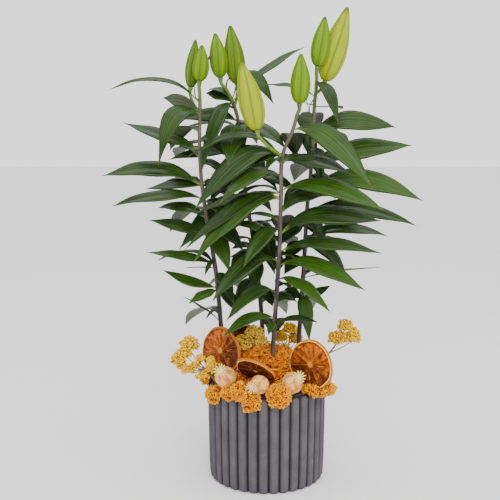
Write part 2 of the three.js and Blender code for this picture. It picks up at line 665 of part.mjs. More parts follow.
const stemNames = Object.keys(STEMS);
const sliceSeats = Object.values(SLICES).map(sliceSeat);
const poppySeats = Object.values(POPPIES).map(poppySeat);
const headSeats = Object.values(YARROWS).map(([centre, half]) => seatBall(centre, half));
const spraySeats = Object.values(SPRAYS).flatMap((row) => (
  [spraySeat(row), ...row.heads.map(([centre, half]) => seatBall(centre, half))]));

place('pot', pot(), 'concrete');
place('soil', soil(stemNames), 'earth');
place('moss', moss([...sliceSeats, ...poppySeats, ...headSeats, ...spraySeats, ...stemNames.map(stemHole)]),
  'orange_moss');
stemNames.forEach((name) => place(`lily_stem_${name}`, lilyStem(name), 'leaf'));
Object.entries(BUDS).forEach(([name, row]) => place(name, bud(row), 'bud'));
Object.entries(SLICES).forEach(([name, row]) => place(name, slice(row), 'orange'));
Object.entries(POPPIES).forEach(([name, row]) => place(name, poppy(row), 'poppy'));

// Each yarrow head gives way to the pot's rim, the slices, the poppy heads and the yarrow before it
const taken = [potEnvelope(), ...sliceSeats, ...poppySeats];
Object.entries(YARROWS).forEach(([name, [centre, half]], i) => {
  place(name, taken.reduce((rest, seat) => rest.subtract(seat), flowerHead(centre, half)), 'yarrow');
  taken.push(headSeats[i]);
});

Object.entries(SPRAYS).forEach(([name, row]) => place(name, spray(row), 'everlasting'));

export default lily;
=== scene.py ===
"""A potted lily in bud: a fluted concrete pot, leafy stems, and a dressing of dried fruit and flowers."""

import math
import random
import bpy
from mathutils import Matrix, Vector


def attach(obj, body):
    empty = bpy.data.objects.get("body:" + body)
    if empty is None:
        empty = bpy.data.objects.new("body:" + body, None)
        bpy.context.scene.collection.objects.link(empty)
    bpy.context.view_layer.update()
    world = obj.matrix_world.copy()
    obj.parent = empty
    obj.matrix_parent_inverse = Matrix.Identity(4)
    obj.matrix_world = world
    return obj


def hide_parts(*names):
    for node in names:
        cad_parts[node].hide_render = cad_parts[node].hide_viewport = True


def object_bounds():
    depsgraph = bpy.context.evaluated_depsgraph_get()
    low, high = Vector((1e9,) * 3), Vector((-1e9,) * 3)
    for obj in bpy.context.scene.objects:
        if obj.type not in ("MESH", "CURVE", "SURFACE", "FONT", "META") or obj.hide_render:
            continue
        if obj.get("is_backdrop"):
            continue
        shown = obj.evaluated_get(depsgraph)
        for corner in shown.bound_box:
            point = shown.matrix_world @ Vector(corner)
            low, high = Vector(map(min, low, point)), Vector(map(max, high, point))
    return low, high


bl_info = {
    "name": "Potted lily",
    "version": (1, 0, 0),
    "blender": (4, 5, 0),
    "location": "View3D > Sidebar > Potted lily",
    "description": "Builds a potted lily in bud with its fluted pot and its dried top dressing",
    "category": "Add Mesh",
}

import bmesh
import bpy
from mathutils import Matrix, Vector, noise

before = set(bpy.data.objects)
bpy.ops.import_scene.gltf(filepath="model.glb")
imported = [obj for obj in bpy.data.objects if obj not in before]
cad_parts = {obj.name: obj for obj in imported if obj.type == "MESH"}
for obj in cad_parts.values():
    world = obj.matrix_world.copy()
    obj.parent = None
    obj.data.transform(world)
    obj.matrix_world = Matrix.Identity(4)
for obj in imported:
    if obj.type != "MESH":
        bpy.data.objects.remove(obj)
CAD_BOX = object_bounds()

MM = 0.001
WELD = 0.001  # in mm: vertices closer than this become one
UP = Vector((0, 0, 1))

# Pot
POT_HEIGHT = 115
POT_CREST = [  # height, radius over the crests
    (0, 64), (1, 66.2), (2.5, 67.5), (5, 68.3), (10, 68.8), (28, 69.4), (104, 70.3), (112, 69), (115, 66.4),
]
POT_SHOULDER = 104  # above it the wall behind the flutes leans in to the rim
POT_NECK = 66.3  # radius of that wall at the rim
POT_RIM_AND_BORE = [  # radius, height
    (66.2, 114.4), (65.7, 114.8), (65.0, 115), (61.6, 115), (60.9, 114.8), (60.5, 114.2), (60.3, 105),
    (58, 9),
]
POT_FOOT = [(0.9, 0)]  # share of the foot's outline, height
PLAIN_TONE = 0.7  # the rim, the bore and the underside, between a groove (0) and a crest (1)
FLUTE_TURN = 6.5  # degrees from +X to the first groove
FLUTE_RADIUS = 70  # where the flutes' width is measured
FLUTE_COLUMNS = 14
FLUTE_HEIGHTS = [
    0, 0.3, 0.8, 1.5, 2.4, 3.4, 4.6, 7, *range(14, 100, 8),
    100, 103, 105, 107, 108.5, 109.8, 110.8, 111.6, 112.2, 112.7, 113.1, 113.4, 113.8,
]
FLUTE_CROWN = 113.4  # where a flute's round top ends, under the plain rim
FLUTE_FOOT = 2.5  # height under which the flutes grow shallow
FLUTE_FOOT_LOSS = 0.8
FLUTE_WEAR = 0.02
FLUTE_WELD = 0.01  # in mm: the edges of two flutes lie closer than this

# Moss
MOSS_RADIUS = 59.6
MOSS_EDGE = 113
MOSS_UNDERSIDE = 104.4
MOSS_RISE = 43
MOSS_ROUNDING = 0.75
MOSS_ROUGHNESS = 2.6
MOSS_HOLLOW = 126  # the moss under the slice that leans forward
MOSS_HOLLOW_EDGE = 8  # how far beyond the slice the hollow reaches
BED_DEPTH = 1.8  # how far the bed lies under the mound's surface
STRAND_SHAPES = 16
STRAND_STEPS = 12
STRAND_HEIGHT = 6  # the height that the shapes of the strands are drawn for

# Stems
STEM_FOOT_RADIUS = 3.3
STEM_TOP_RADIUS = 2.1
STEM_STEPS = 64
STALK_STEPS = 8
STALK_RADII = (2.1, 1.7)
BUD_SEAT_LENGTH = 7
BUD_GAP = 0.3
STEM_SEAT_RADII = [2.1, 2.3, 2.8, 3.15]  # the end of a stem and of a stalk swells under its bud
STALK_SEAT_RADII = [1.75, 2.1, 2.7, 3.15]
BARK_REACH = 0.5  # metres of height that the bark's colours run over

# Leaves
LEAF_FULLNESS = 6.49
LEAF_ROOT_TAPER = 1.3
LEAF_TIP_TAPER = 1.4
LEAF_SKEW = 0.35
LEAF_ROOT_HALF_WIDTH = 1.5
LEAF_COLUMNS = 16
LEAF_CROWDING = 1.15  # above 1 the rows stand closer at the root
LEAF_SWAY = 0.02  # how far a blade curves sideways, as a share of its reach
LONG_LEAF = 60  # a leaf that reaches further has more rows, and waves in full
OUTER_TONE = 0.9  # tone of the brightest outer and inner leaves: a higher tone is a lighter green
# The inner leaves' lower tone is painted shade deep among the stems
INNER_SHADE_TONE = 0.25
LOWEST_TONE = 1.25  # the lower leaves are brighter than the upper ones
HIGHEST_TONE = 0.55
LOWEST_LEAF = 180
LEAFY_HEIGHT = 270  # above the lowest leaf, the height that the tone falls over
CHANNEL_AT_ROOT = 0.32
CHANNEL_AT_MIDDLE = 0.08

# The stems: height, then x and y there
STEMS = {
    "front": [(60, 3, -22), (160, 7, -22), (270, 13.5, -22), (340, 15.5, -22), (385, 17, -22),
              (415, 29, -21), (444, 36, -20)],
    "left": [(60, -48, 4), (183, -55, 5), (250, -61, 5), (303, -70, 5), (356, -77, 5), (403, -79, 4),
             (432, -78, 3), (470, -78, -2)],
    "back": [(60, 0, 27), (175, -5, 30), (245, -11, 30), (367, -29, 30), (420, -33, 30), (446, -40, 29),
             (476, -55, 25)],
    "right": [(60, 36, 8), (162, 39, 8), (250, 44, 8), (329, 48, 8), (372, 52, 8), (444, 55, 7),
              (460, 56.5, 5), (487, 57.5, 0)],
}

# The leaves that the front shows: height of the root, direction in degrees from +X, reach, fall, arch,
# width, and how many degrees the blade turns to face the front. An eighth value stands in for LEAF_SKEW.
FRONT_LEAVES = {
    "front": [
        (196, 205, 67, 16, 10, 24, 20), (226, 210, 68, 27, 15, 26, 20), (263, 205, 84, 41, 18, 30, 25),
        (334, 195, 104, 70, 22, 36, 30), (337, 175, 102, 20, 8, 20, -35), (360, 215, 85, 27, 16, 31, 25),
        (381, 197, 103, 56, 25, 37, 28), (382, 178, 110, 0, 26, 18, 22), (283, 165, 62, -23, 9, 22, 15),
        (309, 150, 65, 2, 9, 18, 14), (377, -15, 81, 13, 8, 30, 28), (345, -20, 120, 20, 14, 32, 36),
        (294, -8, 116, -18, 15, 31, 38, 0.7), (274, -12, 119, -2, 10, 28, 27, 0.6),
        (258, -22, 104, 22, 12, 30, 26, 0.6), (242, -40, 75, 30, 11, 28, 10), (186, -20, 54, -9, 8, 16, 20),
        (213, 25, 30, 2, 9, 21, 25), (192, 230, 12, 14, 4, 12, 0), (374, 240, 36, 6, 10, 18, -20),
        (413, -25, 95, 62, 19, 33, 40), (318, 10, 58, -20, 12, 30, 30),
    ],
    "left": [
        (186, 170, 47, -30, 3, 9, 0), (203, 220, 22, 12, 4, 9, 0), (225, 205, 38, 14, 2, 20, 20),
        (228, 178, 67, -21, -3, 20, 25), (251, 170, 37, 0, 1, 10, 0), (256, 183, 82, -15, 3, 22, 24),
        (294, -55, 44, 42, 10, 27, 0), (290, 180, 72, -19, 2, 27, 28), (310, 165, 62, -12, 8, 23, 24),
        (333, 188, 108, 7, 8, 28, 25), (349, 160, 75, 5, 3, 23, 36), (349, 183, 117, -12, 14, 31, 34),
        (391, 172, 93, -32, 1, 30, 28), (436, 218, 58, 64, 29, 36, 20, -0.5),
        (437, 155, 50, -15, 0, 30, -50), (444, 178, 109, -15, 21, 13, 25), (348, 8, 33, 8, 4, 23, 25),
    ],
    "back": [
        (448, 8, 90, -66, 8, 20, 25), (449, -21, 53, 6, 30, 23, 42), (417, -33, 65, 25, 10, 33, 20),
        (417, -100, 69, 44, 14, 32, 0), (438, 185, 28, -1, 4, 18, 20), (417, 172, 76, 3, 8, 22, 15),
        (337, 190, 82, 65, 10, 34, 38), (270, 185, 29, -1, 6, 18, 20), (260, 175, 33, 0, 4, 18, 20),
        (282, 190, 47, 9, 6, 20, -20), (255, 265, 30, 34, 10, 20, 0), (443, 228, 58, 82, 24, 28, 0),
        (450, 165, 30, -12, 6, 22, 20), (322, -102, 44, 12, 12, 27, 0), (378, -100, 44, 22, 14, 30, 0),
        (352, -8, 66, 14, 14, 28, 20), (246, 195, 38, 6, 10, 24, 20), (385, 180, 88, 6, 6, 27, 25),
        (338, -20, 34, 22, 6, 30, 15), (303, -30, 36, 26, 8, 28, 10),
    ],
    "right": [
        (216, -72, 26, 50, 12, 20, 0), (212, 20, 39, -16, 0, 18, 15), (239, 8, 96, -11, 2, 15, 0),
        (273, -30, 56, 30, 14, 32, 10), (275, 25, 80, 0, 6, 16, 0), (285, 3, 101, -3, 12, 28, 26),
        (318, -5, 130, 16, 12, 29, 36), (342, -5, 134, 10, 19, 33, 42), (374, 3, 120, -22, 7, 33, 48),
        (414, 0, 97, -3, 9, 30, 48), (467, -40, 31, 46, 13, 29, 0), (379, 100, 24, -36, 2, 18, 0),
        (374, -50, 24, 14, 6, 12, 0), (421, 200, 23, -7, 2, 22, -60), (452, 178, 62, -14, 6, 16, 25),
        (303, -40, 28, 18, 4, 30, 0),
    ],
}

# Leaves deep between the stems, painted darker as painted shade, by the same numbers
INNER_LEAVES = {
    "front": [(342, 188, 112, 64, 14, 26, 35), (384, 192, 44, 14, 8, 22, 45), (300, 215, 52, 40, 12, 24, 25),
              (231, 60, 34, 6, 8, 20, 20), (268, 48, 36, 14, 8, 24, 25)],
    "left": [(262, 200, 12, 20, 4, 10, 20), (222, -25, 26, 24, 8, 24, 10), (330, -20, 40, 26, 8, 26, 25),
             (402, -10, 38, 24, 10, 26, 30), (372, 20, 36, 14, 8, 24, 30), (245, -40, 28, 34, 8, 22, 10),
             (302, -12, 44, 30, 10, 28, 30), (352, 6, 38, 26, 8, 26, 25)],
    "back": [(297, -30, 32, 38, 8, 22, 30), (296, -48, 42, 52, 12, 28, 25), (232, 200, 32, 30, 8, 26, 20),
             (424, 172, 74, -2, 8, 22, 50), (424, -70, 18, 38, 8, 16, 0), (446, 170, 34, -12, 4, 20, 40),
             (360, 200, 44, 34, 10, 26, 25), (395, -45, 40, 40, 10, 26, 20), (330, 215, 38, 30, 10, 26, 20),
             (215, -60, 30, 10, 8, 22, 10), (308, 196, 46, 30, 10, 28, 25), (281, -20, 42, 28, 8, 26, 20),
             (266, 212, 36, 22, 8, 24, 20), (372, -12, 44, 30, 10, 28, 25)],
    "right": [(312, -48, 24, 28, 10, 24, 10), (212, 195, 26, -2, 8, 20, 50), (345, 205, 34, 26, 8, 28, 25),
              (392, -70, 24, 36, 10, 24, 0), (258, 200, 26, 14, 8, 24, 30), (360, -40, 36, 26, 10, 28, 15),
              (302, 202, 36, 24, 8, 26, 25), (278, 216, 30, 18, 8, 24, 20)],
}

# The leaves behind, from the bottom up
REAR_TURNS = {
    "front": [89, 80, 88, 76, 84, 153, 76, 80],
    "left": [120, 70, 150, 95, 122, 130, 110, 119],
    "back": [68, 130, 85, 35, 110, 55, 145, 75],
    "right": [78, 50, 62, 70, 30, 100, 60, 88],
}
REAR_LOWEST = {"front": 186, "left": 194, "back": 202, "right": 210}
REAR_STEP = 31
REAR_REACH = {"front": 80, "left": 98, "back": 98, "right": 98}
REAR_REACH_SWING = 14
REAR_FALL = 17
REAR_FALL_SWING = 16
REAR_ARCH = 14
REAR_WIDTH = 29

# The buds: stem, height where the stalk leaves it, foot, tip, width, and how far the bud has ripened, where
# a number below 0 stands for a duller, darker green: painted shade on the buds behind
BUDS = {
    "bud_front_upper": ("front", 444, (36, -20, 444), (37.3, -20, 499), 22.5, 0.15),
    "bud_front_lower": ("front", 383, (-12.5, -45, 414.3), (-30, -45, 488), 27, 0.9),
    "bud_left_upper": ("left", 470, (-78, -2, 470), (-74.9, -2, 510.4), 19, 0.0),
    "bud_left_rear": ("left", 432, (-89.6, 15, 464), (-83.3, 15, 518.5), 17, -0.8),
    "bud_back_upper": ("back", 476, (-55, 25, 476), (-61, 25, 527), 21, 0.1),
    "bud_back_rear": ("back", 442, (-35.6, 40, 470), (-43.8, 40, 538), 24, -0.55),
    "bud_right_upper": ("right", 487, (57.5, 0, 487), (65.5, 0, 542.4), 21.5, 0.1),
    "bud_right_rear": ("right", 456, (68, 18, 472), (93.1, 18, 555.7), 29, 1.0),
}
BUD_PROFILE = [  # share of the length, share of the half width
    (0, 0.34), (0.025, 0.5), (0.1, 0.75), (0.22, 0.93), (0.36, 1), (0.5, 0.95), (0.64, 0.81), (0.76, 0.62),
    (0.88, 0.39), (0.95, 0.25), (0.985, 0.16), (1, 0),
]
BUD_SPIRAL = 14  # degrees that the seams turn from foot to tip
RIPE_SPIRAL = 22
SEAM_WIDTH = 5  # in degrees round the bud
RIB_WIDTH = 6
RIB_HEIGHT = 0.035  # as a share of the radius

# Thin side shoots near the buds: the points each runs through, its radii, and whether it ends in a
# withered bud
SHOOTS = {
    "left": [
        ([(-79, 0, 448), (-83.6, 9, 453), (-84.8, 9, 465), (-80.4, 9, 476), (-73.3, 9, 488),
          (-68.2, 9, 495)], 0.75, 0.55, True),
    ],
    "back": [
        ([(-43.5, 29.5, 450), (-48.3, 33, 458), (-48, 36, 469), (-45, 36, 475), (-39.7, 36, 474)],
         1.1, 0.8, False),
    ],
    "right": [
        ([(55.8, 6.5, 452), (52.1, 4, 447), (49.2, 4, 440), (48.7, 4, 434), (45.5, 3, 450)],
         0.7, 0.4, False),
        ([(55.5, 6, 443), (47.1, 2, 444), (41.9, 2, 447.4)], 0.7, 0.4, False),
        ([(55.5, 6, 442), (60, 2, 441), (68, 2, 441), (76, 2, 442.4), (82, 2, 441.2)], 0.75, 0.5, True),
    ],
}
SHOOT_STEPS = 6  # from each point of a shoot to the next
WITHERED_BUD = [(1.0, 1.2), (2.4, 1.9), (4.0, 2.0), (5.4, 1.4), (6.4, 0.5)]  # distance and radius

# Dried orange slices: centre, direction that the face points in, rise, roll, radius, how dark it is, partly its
# dried colour and partly painted shade, how pale its pith is, and the side painted lighter as painted light
SLICES = {
    "orange_slice_right": ((49.7, -48, 148), -127, 2, 8, 29.5, 0.4, 1.0, 30),
    "orange_slice_middle": ((-13, -55, 143.6), -118, -47, 0, 24.3, 0.8, 0.9, -50),
    "orange_slice_left": ((-54, -14, 155.5), -128, 6, 20, 29, 0.35, 0.15, 90),
    "orange_slice_rear": ((-28, 43, 150), 100, 12, 0, 27, 0.35, 0.8, 60),
}
LEANING_SLICE = SLICES["orange_slice_middle"]
SLICE_THICKNESS = 5
SLICE_SEGMENTS = 10
SLICE_WARP = 1.2
SLICE_RIM = 0.9  # where the face rounds off into the rim
SLICE_SPREAD = 0.9  # below 1 the rings stand closer at the rim
SLICE_UNEVEN = 0.035
SLICE_CORE = 0.06  # share of the radius with no pulp, at the middle
FACE_STANDS = 0.85  # how far the face and the back stand out, as a share of half the thickness
BACK_STANDS = 0.4

# Poppy seed heads: centre, the way the crown points, and radius
POPPIES = {
    "poppy_left": ((-47.8, -50, 133.4), (-0.42, -0.55, 0.72), 12.6),
    "poppy_middle": ((-9.7, -69, 130.4), (-0.7, -0.7, -0.05), 11),
    "poppy_right": ((27.9, -61, 130.4), (0.5, -0.6, 0.62), 12.3),
    "poppy_rear": ((22, 60, 132), (0.3, 0.6, 0.74), 12),
}
POPPY_PROFILE = [  # height over the middle and half width, as shares of the radius
    (-1.2, 0), (-1.2, 0.18), (-1.08, 0.3), (-0.9, 0.54), (-0.66, 0.77), (-0.35, 0.94), (-0.05, 1),
    (0.3, 0.94), (0.6, 0.8), (0.84, 0.62), (0.98, 0.46), (1.06, 0.36), (1.08, 0),
]
CROWN_SHARE = 0.68
CROWN_LEAN = 0.5  # how far the crown faces out of the dressing
CROWN_FOOT = 1.12  # height over the head's middle, as a share of its radius

# Orange yarrow heads: centre and half sizes
YARROWS = {
    "yarrow_front_1": ((-62, -38.5, 110), (9, 10, 10)),
    "yarrow_front_2": ((-45, -58.5, 117), (7.5, 8, 8)),
    "yarrow_front_3": ((-32.5, -66, 122), (9, 8.5, 10.5)),
    "yarrow_front_4": ((-19, -72, 112.5), (11, 9, 12.3)),
    "yarrow_front_5": ((12, -71, 118), (13.2, 11, 13)),
    "yarrow_right": ((58.5, -48, 120), (19.5, 11, 9.3)),
    "yarrow_rear_1": ((68, 18, 118), (11, 12, 11)),
    "yarrow_rear_2": ((48, 53, 118), (12, 12, 11)),
    "yarrow_rear_3": ((2, 71, 118), (12, 11, 11)),
    "yarrow_rear_4": ((-42, 57, 118), (12, 12, 11)),
    "yarrow_rear_5": ((-70, 12, 118), (11, 12, 11)),
}
CORE_WALL = 70.4  # radius, up to the rim, that the middle of a yarrow head stays out of
YARROW_COVER = 1.3  # area of the florets over the area of the head
BARE_HOLLOW = -0.45  # where the head is so hollow that no floret grows

# Sprays of small yellow flowers: foot in the moss, fork, and the heads' centres and half sizes
SPRAYS = {
    "yellow_spray_left": ((-50, -20, 112), (-73, -25, 138), [
        ((-91.6, -20, 164), (12, 9, 10.5)), ((-104, -22, 148), (9, 8, 10)), ((-94, -24, 135), (8, 7, 7)),
        ((-79, -26, 149), (6, 6, 6)), ((-65.5, -31, 143), (7, 6, 12)), ((-76, -34, 130), (8, 6, 5.5)),
        ((-96, -21, 154), (8, 7, 7)), ((-100, -23, 139), (6, 6, 6)), ((-85, -25, 141), (6, 6, 6))]),
    "yellow_spray_right": ((50, -4, 112), (77, 0, 153), [
        ((85, 1, 167), (12, 10, 10)), ((103, 0, 170), (9.5, 9, 11)), ((94, 2, 182), (10, 9, 8))]),
    "yellow_spray_middle": ((-16, 8, 112), (-17, 4, 159), [
        ((-29, 1, 160), (12, 11, 12)), ((-8, 4, 160), (11, 9, 11)), ((-15, 3, 173), (12, 10, 9))]),
    "yellow_spray_rear": ((26, 36, 112), (28, 42, 146), [
        ((19, 44, 159), (9, 9, 9)), ((37, 43, 157), (9, 9, 9)), ((30, 46, 169), (10, 9, 8))]),
}
SPRAY_COVER = 1.15  # area of the flowers over the area of the head
SPRAY_SPLIT = 0.92  # where the stem parts into branches, as a share of the way to its fork
THREAD_RADIUS = 0.22  # of the stalk under each flower

# The stage
KEY_PLACE = (0.1, -1.55, 1.35)
KEY_SIZE = 0.9
FILL_PLACE = (1.5, -0.9, 0.9)
FILL_SIZE = 1.3
LIT_POINT = (0, 0, 0.25)
CAMERA_PLACE = (-0.020, -1.000, 0.402)
CAMERA_PITCH = 7.3  # degrees below the horizon
CAMERA_LENS = 61.5


def tint(red, green, blue):
    """A colour given as 0 to 255 on a screen, as the light that Blender works in."""
    def light(value):
        share = value / 255
        return share / 12.92 if share <= 0.04045 else ((share + 0.055) / 1.055) ** 2.4
    return (light(red), light(green), light(blue), 1.0)


def colour_setting(name, description, shade):
    return bpy.props.FloatVectorProperty(
        name=name, description=description, subtype="COLOR", size=4, min=0, max=1, default=shade)


def length_setting(name, description, value):
    """A length, given in millimetres."""
    return bpy.props.FloatProperty(
        name=name, description=description, subtype="DISTANCE", unit="LENGTH", default=value * MM, min=0,
        precision=5)


def number_setting(name, description, value, **limits):
    return bpy.props.FloatProperty(name=name, description=description, default=value, **limits)


def count_setting(name, description, value, **limits):
    return bpy.props.IntProperty(name=name, description=description, default=value, **limits)


# Settings


class PotSettings(bpy.types.PropertyGroup):
    flutes: count_setting("Flutes", "Half-round flutes round the pot", 34, min=12)
    depth: length_setting("Flute depth", "How far a flute's crest stands over its groove", 4.7)
    groove: number_setting(
        "Groove", "Share of a flute's pitch left flat", 0.05, subtype="FACTOR", min=0, max=0.5)
    body: colour_setting("Concrete", "The concrete's middle colour", tint(75, 71, 77))
    pale: colour_setting("Bloom", "The pale bloom and wear on the crests", tint(90, 86, 91))
    # The groove colour is painted shade, laid from each crest down into its groove; the dark specks use it too
    dark: colour_setting("Groove colour", "The concrete down in the grooves", tint(26, 24, 27))


class FoliageSettings(bpy.types.PropertyGroup):
    thickness: length_setting("Leaf thickness", "Greatest thickness of a leaf", 0.8)
    wave: length_setting("Wave", "How far a leaf's edges wave", 0.9)
    twist: number_setting("Twist", "How far a leaf's tip turns", math.radians(12), subtype="ANGLE")
    upper: colour_setting("Leaf", "Upper side of a leaf", tint(44, 78, 6))
    deep: colour_setting("Deep leaf", "Upper side of the darker leaves", tint(20, 40, 10))
    vein: colour_setting("Veins", "Veins and edges of a leaf", tint(88, 116, 44))
    under: colour_setting("Underside", "Under side of a leaf", tint(76, 88, 62))
    petiole: colour_setting("Leaf foot", "Where a leaf meets its stem", tint(130, 146, 60))


class BudSettings(bpy.types.PropertyGroup):
    fresh: colour_setting("Fresh bud", "A young bud's colour", tint(90, 126, 0))
    ripe: colour_setting("Ripe bud", "A fuller bud's colour", tint(146, 160, 4))
    seam: colour_setting("Seams", "The seams and the tip", tint(58, 82, 6))
    # This duller, darker green is painted shade on the buds that stand behind
    painted_shade_green: colour_setting("Dull bud", "A bud that grows in the shade", tint(70, 98, 22))
    seam_depth: number_setting(
        "Seam depth", "Depth of the seams, as a share of the radius", 0.08, subtype="FACTOR")


class FruitSettings(bpy.types.PropertyGroup):
    rind: colour_setting("Rind", "The dried rind", tint(168, 78, 0))
    pith: colour_setting("Pith", "The pith and membranes", tint(250, 200, 84))
    pulp: colour_setting("Pulp", "The dried pulp", tint(196, 98, 0))
    # The dark pulp is also the colour that the painted shade on a slice is laid in
    dark_pulp: colour_setting("Dark pulp", "The pulp where it has dried dark", tint(78, 28, 0))
    sink: length_setting("Pulp depth", "How far the pulp has sunk between the membranes", 1.3)


class PoppySettings(bpy.types.PropertyGroup):
    shell: colour_setting("Shell", "The seed head", tint(242, 182, 88))
    blush: colour_setting("Blush", "Pink and brown patches on the seed head", tint(170, 92, 44))
    crown: colour_setting("Crown", "The star on top", tint(255, 240, 160))
    rays: count_setting("Rays", "Rays of the crown", 12, min=6, max=16)


class YarrowSettings(bpy.types.PropertyGroup):
    floret: length_setting("Floret", "Radius of a floret", 0.85)
    bright: colour_setting("Bright florets", "The lighter florets", tint(252, 180, 0))
    deep: colour_setting("Deep florets", "The darker florets", tint(226, 120, 0))
    # What shows between the florets is painted shade
    shade: colour_setting("Between florets", "What shows between the florets", tint(96, 44, 0))


class SpraySettings(bpy.types.PropertyGroup):
    flower: length_setting("Flower", "Radius of one small flower", 1.45)
    bright: colour_setting("Bright flowers", "The lighter flowers", tint(253, 214, 8))
    deep: colour_setting("Deep flowers", "The darker flowers", tint(236, 170, 2))
    stalk: colour_setting("Stalks", "The dry stalks", tint(150, 134, 106))


class MossSettings(bpy.types.PropertyGroup):
    strands: count_setting("Strands", "Curled strands of moss", 1800, min=0)
    reach: length_setting("Strand height", "How far a strand stands out of the bed", 6)
    thickness: length_setting("Strand thickness", "Radius of a strand", 0.5)
    bright: colour_setting("Bright strands", "The lighter strands", tint(255, 156, 8))
    deep: colour_setting("Deep strands", "The darker strands", tint(204, 98, 2))
    # The bed's dark colour is painted shade between the strands
    bed: colour_setting("Bed", "The bed under the strands", tint(70, 30, 6))


class StageSettings(bpy.types.PropertyGroup):
    floor: colour_setting("Floor", "The pale floor", (0.92, 0.92, 0.92, 1))
    key: number_setting("Key light", "Strength of the main light", 26, unit="POWER")
    fill: number_setting("Fill light", "Strength of the side light", 6, unit="POWER")
    even: number_setting("Even", "Strength of the even surround", 0.2, min=0)
    top: number_setting("Top", "Strength added overhead", 1.9, min=0)
    low: number_setting("Low", "Strength added round the horizon", 1.5, min=0)


# Small sums


def mixed(a, b, t):
    return a + (b - a) * t


def clamped(t):
    return min(max(t, 0.0), 1.0)


def eased(t):
    t = clamped(t)
    return t * t * (3 - 2 * t)


def smooth_curve(knots, x, value, slope):
    """The value at x on a smooth curve through knots, each of which starts with its own x.

    value(j) and slope(j) give the curve's value and its slope at knot j.
    """
    i = 0
    while i < len(knots) - 2 and x > knots[i + 1][0]:
        i += 1
    span = knots[i + 1][0] - knots[i][0]
    t = (x - knots[i][0]) / span
    return ((2 * t ** 3 - 3 * t ** 2 + 1) * value(i) + (t ** 3 - 2 * t ** 2 + t) * slope(i) * span
            + (3 * t ** 2 - 2 * t ** 3) * value(i + 1) + (t ** 3 - t ** 2) * slope(i + 1) * span)


def along_curve(points, x):
    """The value at x on a smooth curve through (x, value) points that doesn't overshoot them."""
    def rate(j):
        return (points[j + 1][1] - points[j][1]) / (points[j + 1][0] - points[j][0])

    def slope(j):
        if j == 0:
            return rate(0)
        if j == len(points) - 1:
            return rate(j - 1)
        before, after = rate(j - 1), rate(j)
        return 0 if before * after <= 0 else 2 * before * after / (before + after)

    return smooth_curve(points, x, lambda j: points[j][1], slope)


def stem_at(name, height):
    """The point of a stem at a height, by a smooth curve through its listed points."""
    knots = STEMS[name]

    def along(c):
        def slope(j):
            before, after = knots[max(j - 1, 0)], knots[min(j + 1, len(knots) - 1)]
            return (after[c] - before[c]) / (after[0] - before[0])
        return smooth_curve(knots, height, lambda j: knots[j][c], slope)

    return Vector((along(1), along(2), height))


def around(radius, turn):
    return radius * math.cos(turn), radius * math.sin(turn)


def polar(radius, turn, height=0):
    return Vector((*around(radius, turn), height))


def off_axis(point):
    return math.hypot(point.x, point.y)


def facing(direction):
    """The turn that takes +Z to a direction."""
    return UP.rotation_difference(Vector(direction).normalized()).to_matrix().to_4x4()


def placed(point, direction):
    """The move that takes the origin to a point and +Z to a direction."""
    return Matrix.Translation(point) @ facing(direction)


def spun(draw):
    """A turn about +Z, by chance."""
    return Matrix.Rotation(draw.uniform(0, 6.3), 4, "Z")


# Building


def new_body():
    body = bmesh.new()
    body.loops.layers.uv.new("UVMap")
    body.verts.layers.float.new("tone")
    return body


def add_grid(body, columns, rows, place, tone=0.5, materials=(0, 0), uv_at=None):
    """Adds a grid of faces and moves each vertex to place(i, j), then welds what meets.

    materials gives one for each half of the columns. uv_at(a, b) gives a UV, where a and b run from 0 to 1.
    """
    uv_layer = body.loops.layers.uv["UVMap"]
    tone_layer = body.verts.layers.float["tone"]
    verts = bmesh.ops.create_grid(body, x_segments=columns, y_segments=rows, size=1)["verts"]
    for face in {face for vert in verts for face in vert.link_faces}:
        face.smooth = True
        face.material_index = materials[face.calc_center_median().x > 0]
        for loop in face.loops:
            spot = ((loop.vert.co.x + 1) / 2, (loop.vert.co.y + 1) / 2)
            loop[uv_layer].uv = uv_at(*spot) if uv_at else spot
    for k, vert in enumerate(verts):
        vert.co = place(k % (columns + 1), k // (columns + 1))
        vert[tone_layer] = tone
    bmesh.ops.remove_doubles(body, verts=verts, dist=WELD)


def open_edges(body):
    return [edge for edge in body.edges if edge.is_boundary]


def closed(body):
    """Fills the open edge that a body can have."""
    edges = open_edges(body)
    if edges:
        bmesh.ops.contextual_create(body, geom=edges)
    return body


def extruded(body, edges):
    """Extrudes edges, and gives the new vertices and the new edges between them."""
    grown = bmesh.ops.extrude_edge_only(body, edges=edges)["geom"]
    verts = [part for part in grown if isinstance(part, bmesh.types.BMVert)]
    new = set(verts)
    between = [part for part in grown if isinstance(part, bmesh.types.BMEdge) and new.issuperset(part.verts)]
    return verts, between


def add_tube(body, points, radii, sides, material=0):
    """Extrudes a ring of vertices from each point to the next, and closes both ends."""
    tone_layer = body.verts.layers.float["tone"]

    def ring_frame(i):
        ahead, behind = points[min(i + 1, len(points) - 1)], points[max(i - 1, 0)]
        return placed(points[i], ahead - behind) @ Matrix.Scale(radii[i], 4)

    verts = bmesh.ops.create_circle(
        body, cap_ends=False, segments=sides, radius=1, matrix=ring_frame(0))["verts"]
    edges = list({edge for vert in verts for edge in vert.link_edges})
    every = list(verts)
    bmesh.ops.contextual_create(body, geom=edges)
    for i in range(1, len(points)):
        verts, edges = extruded(body, edges)
        bmesh.ops.transform(body, matrix=ring_frame(i) @ ring_frame(i - 1).inverted(), verts=verts)
        every += verts
    bmesh.ops.contextual_create(body, geom=edges)
    for vert in every:
        vert[tone_layer] = 0.5
        for face in vert.link_faces:
            face.smooth = True
            face.material_index = material


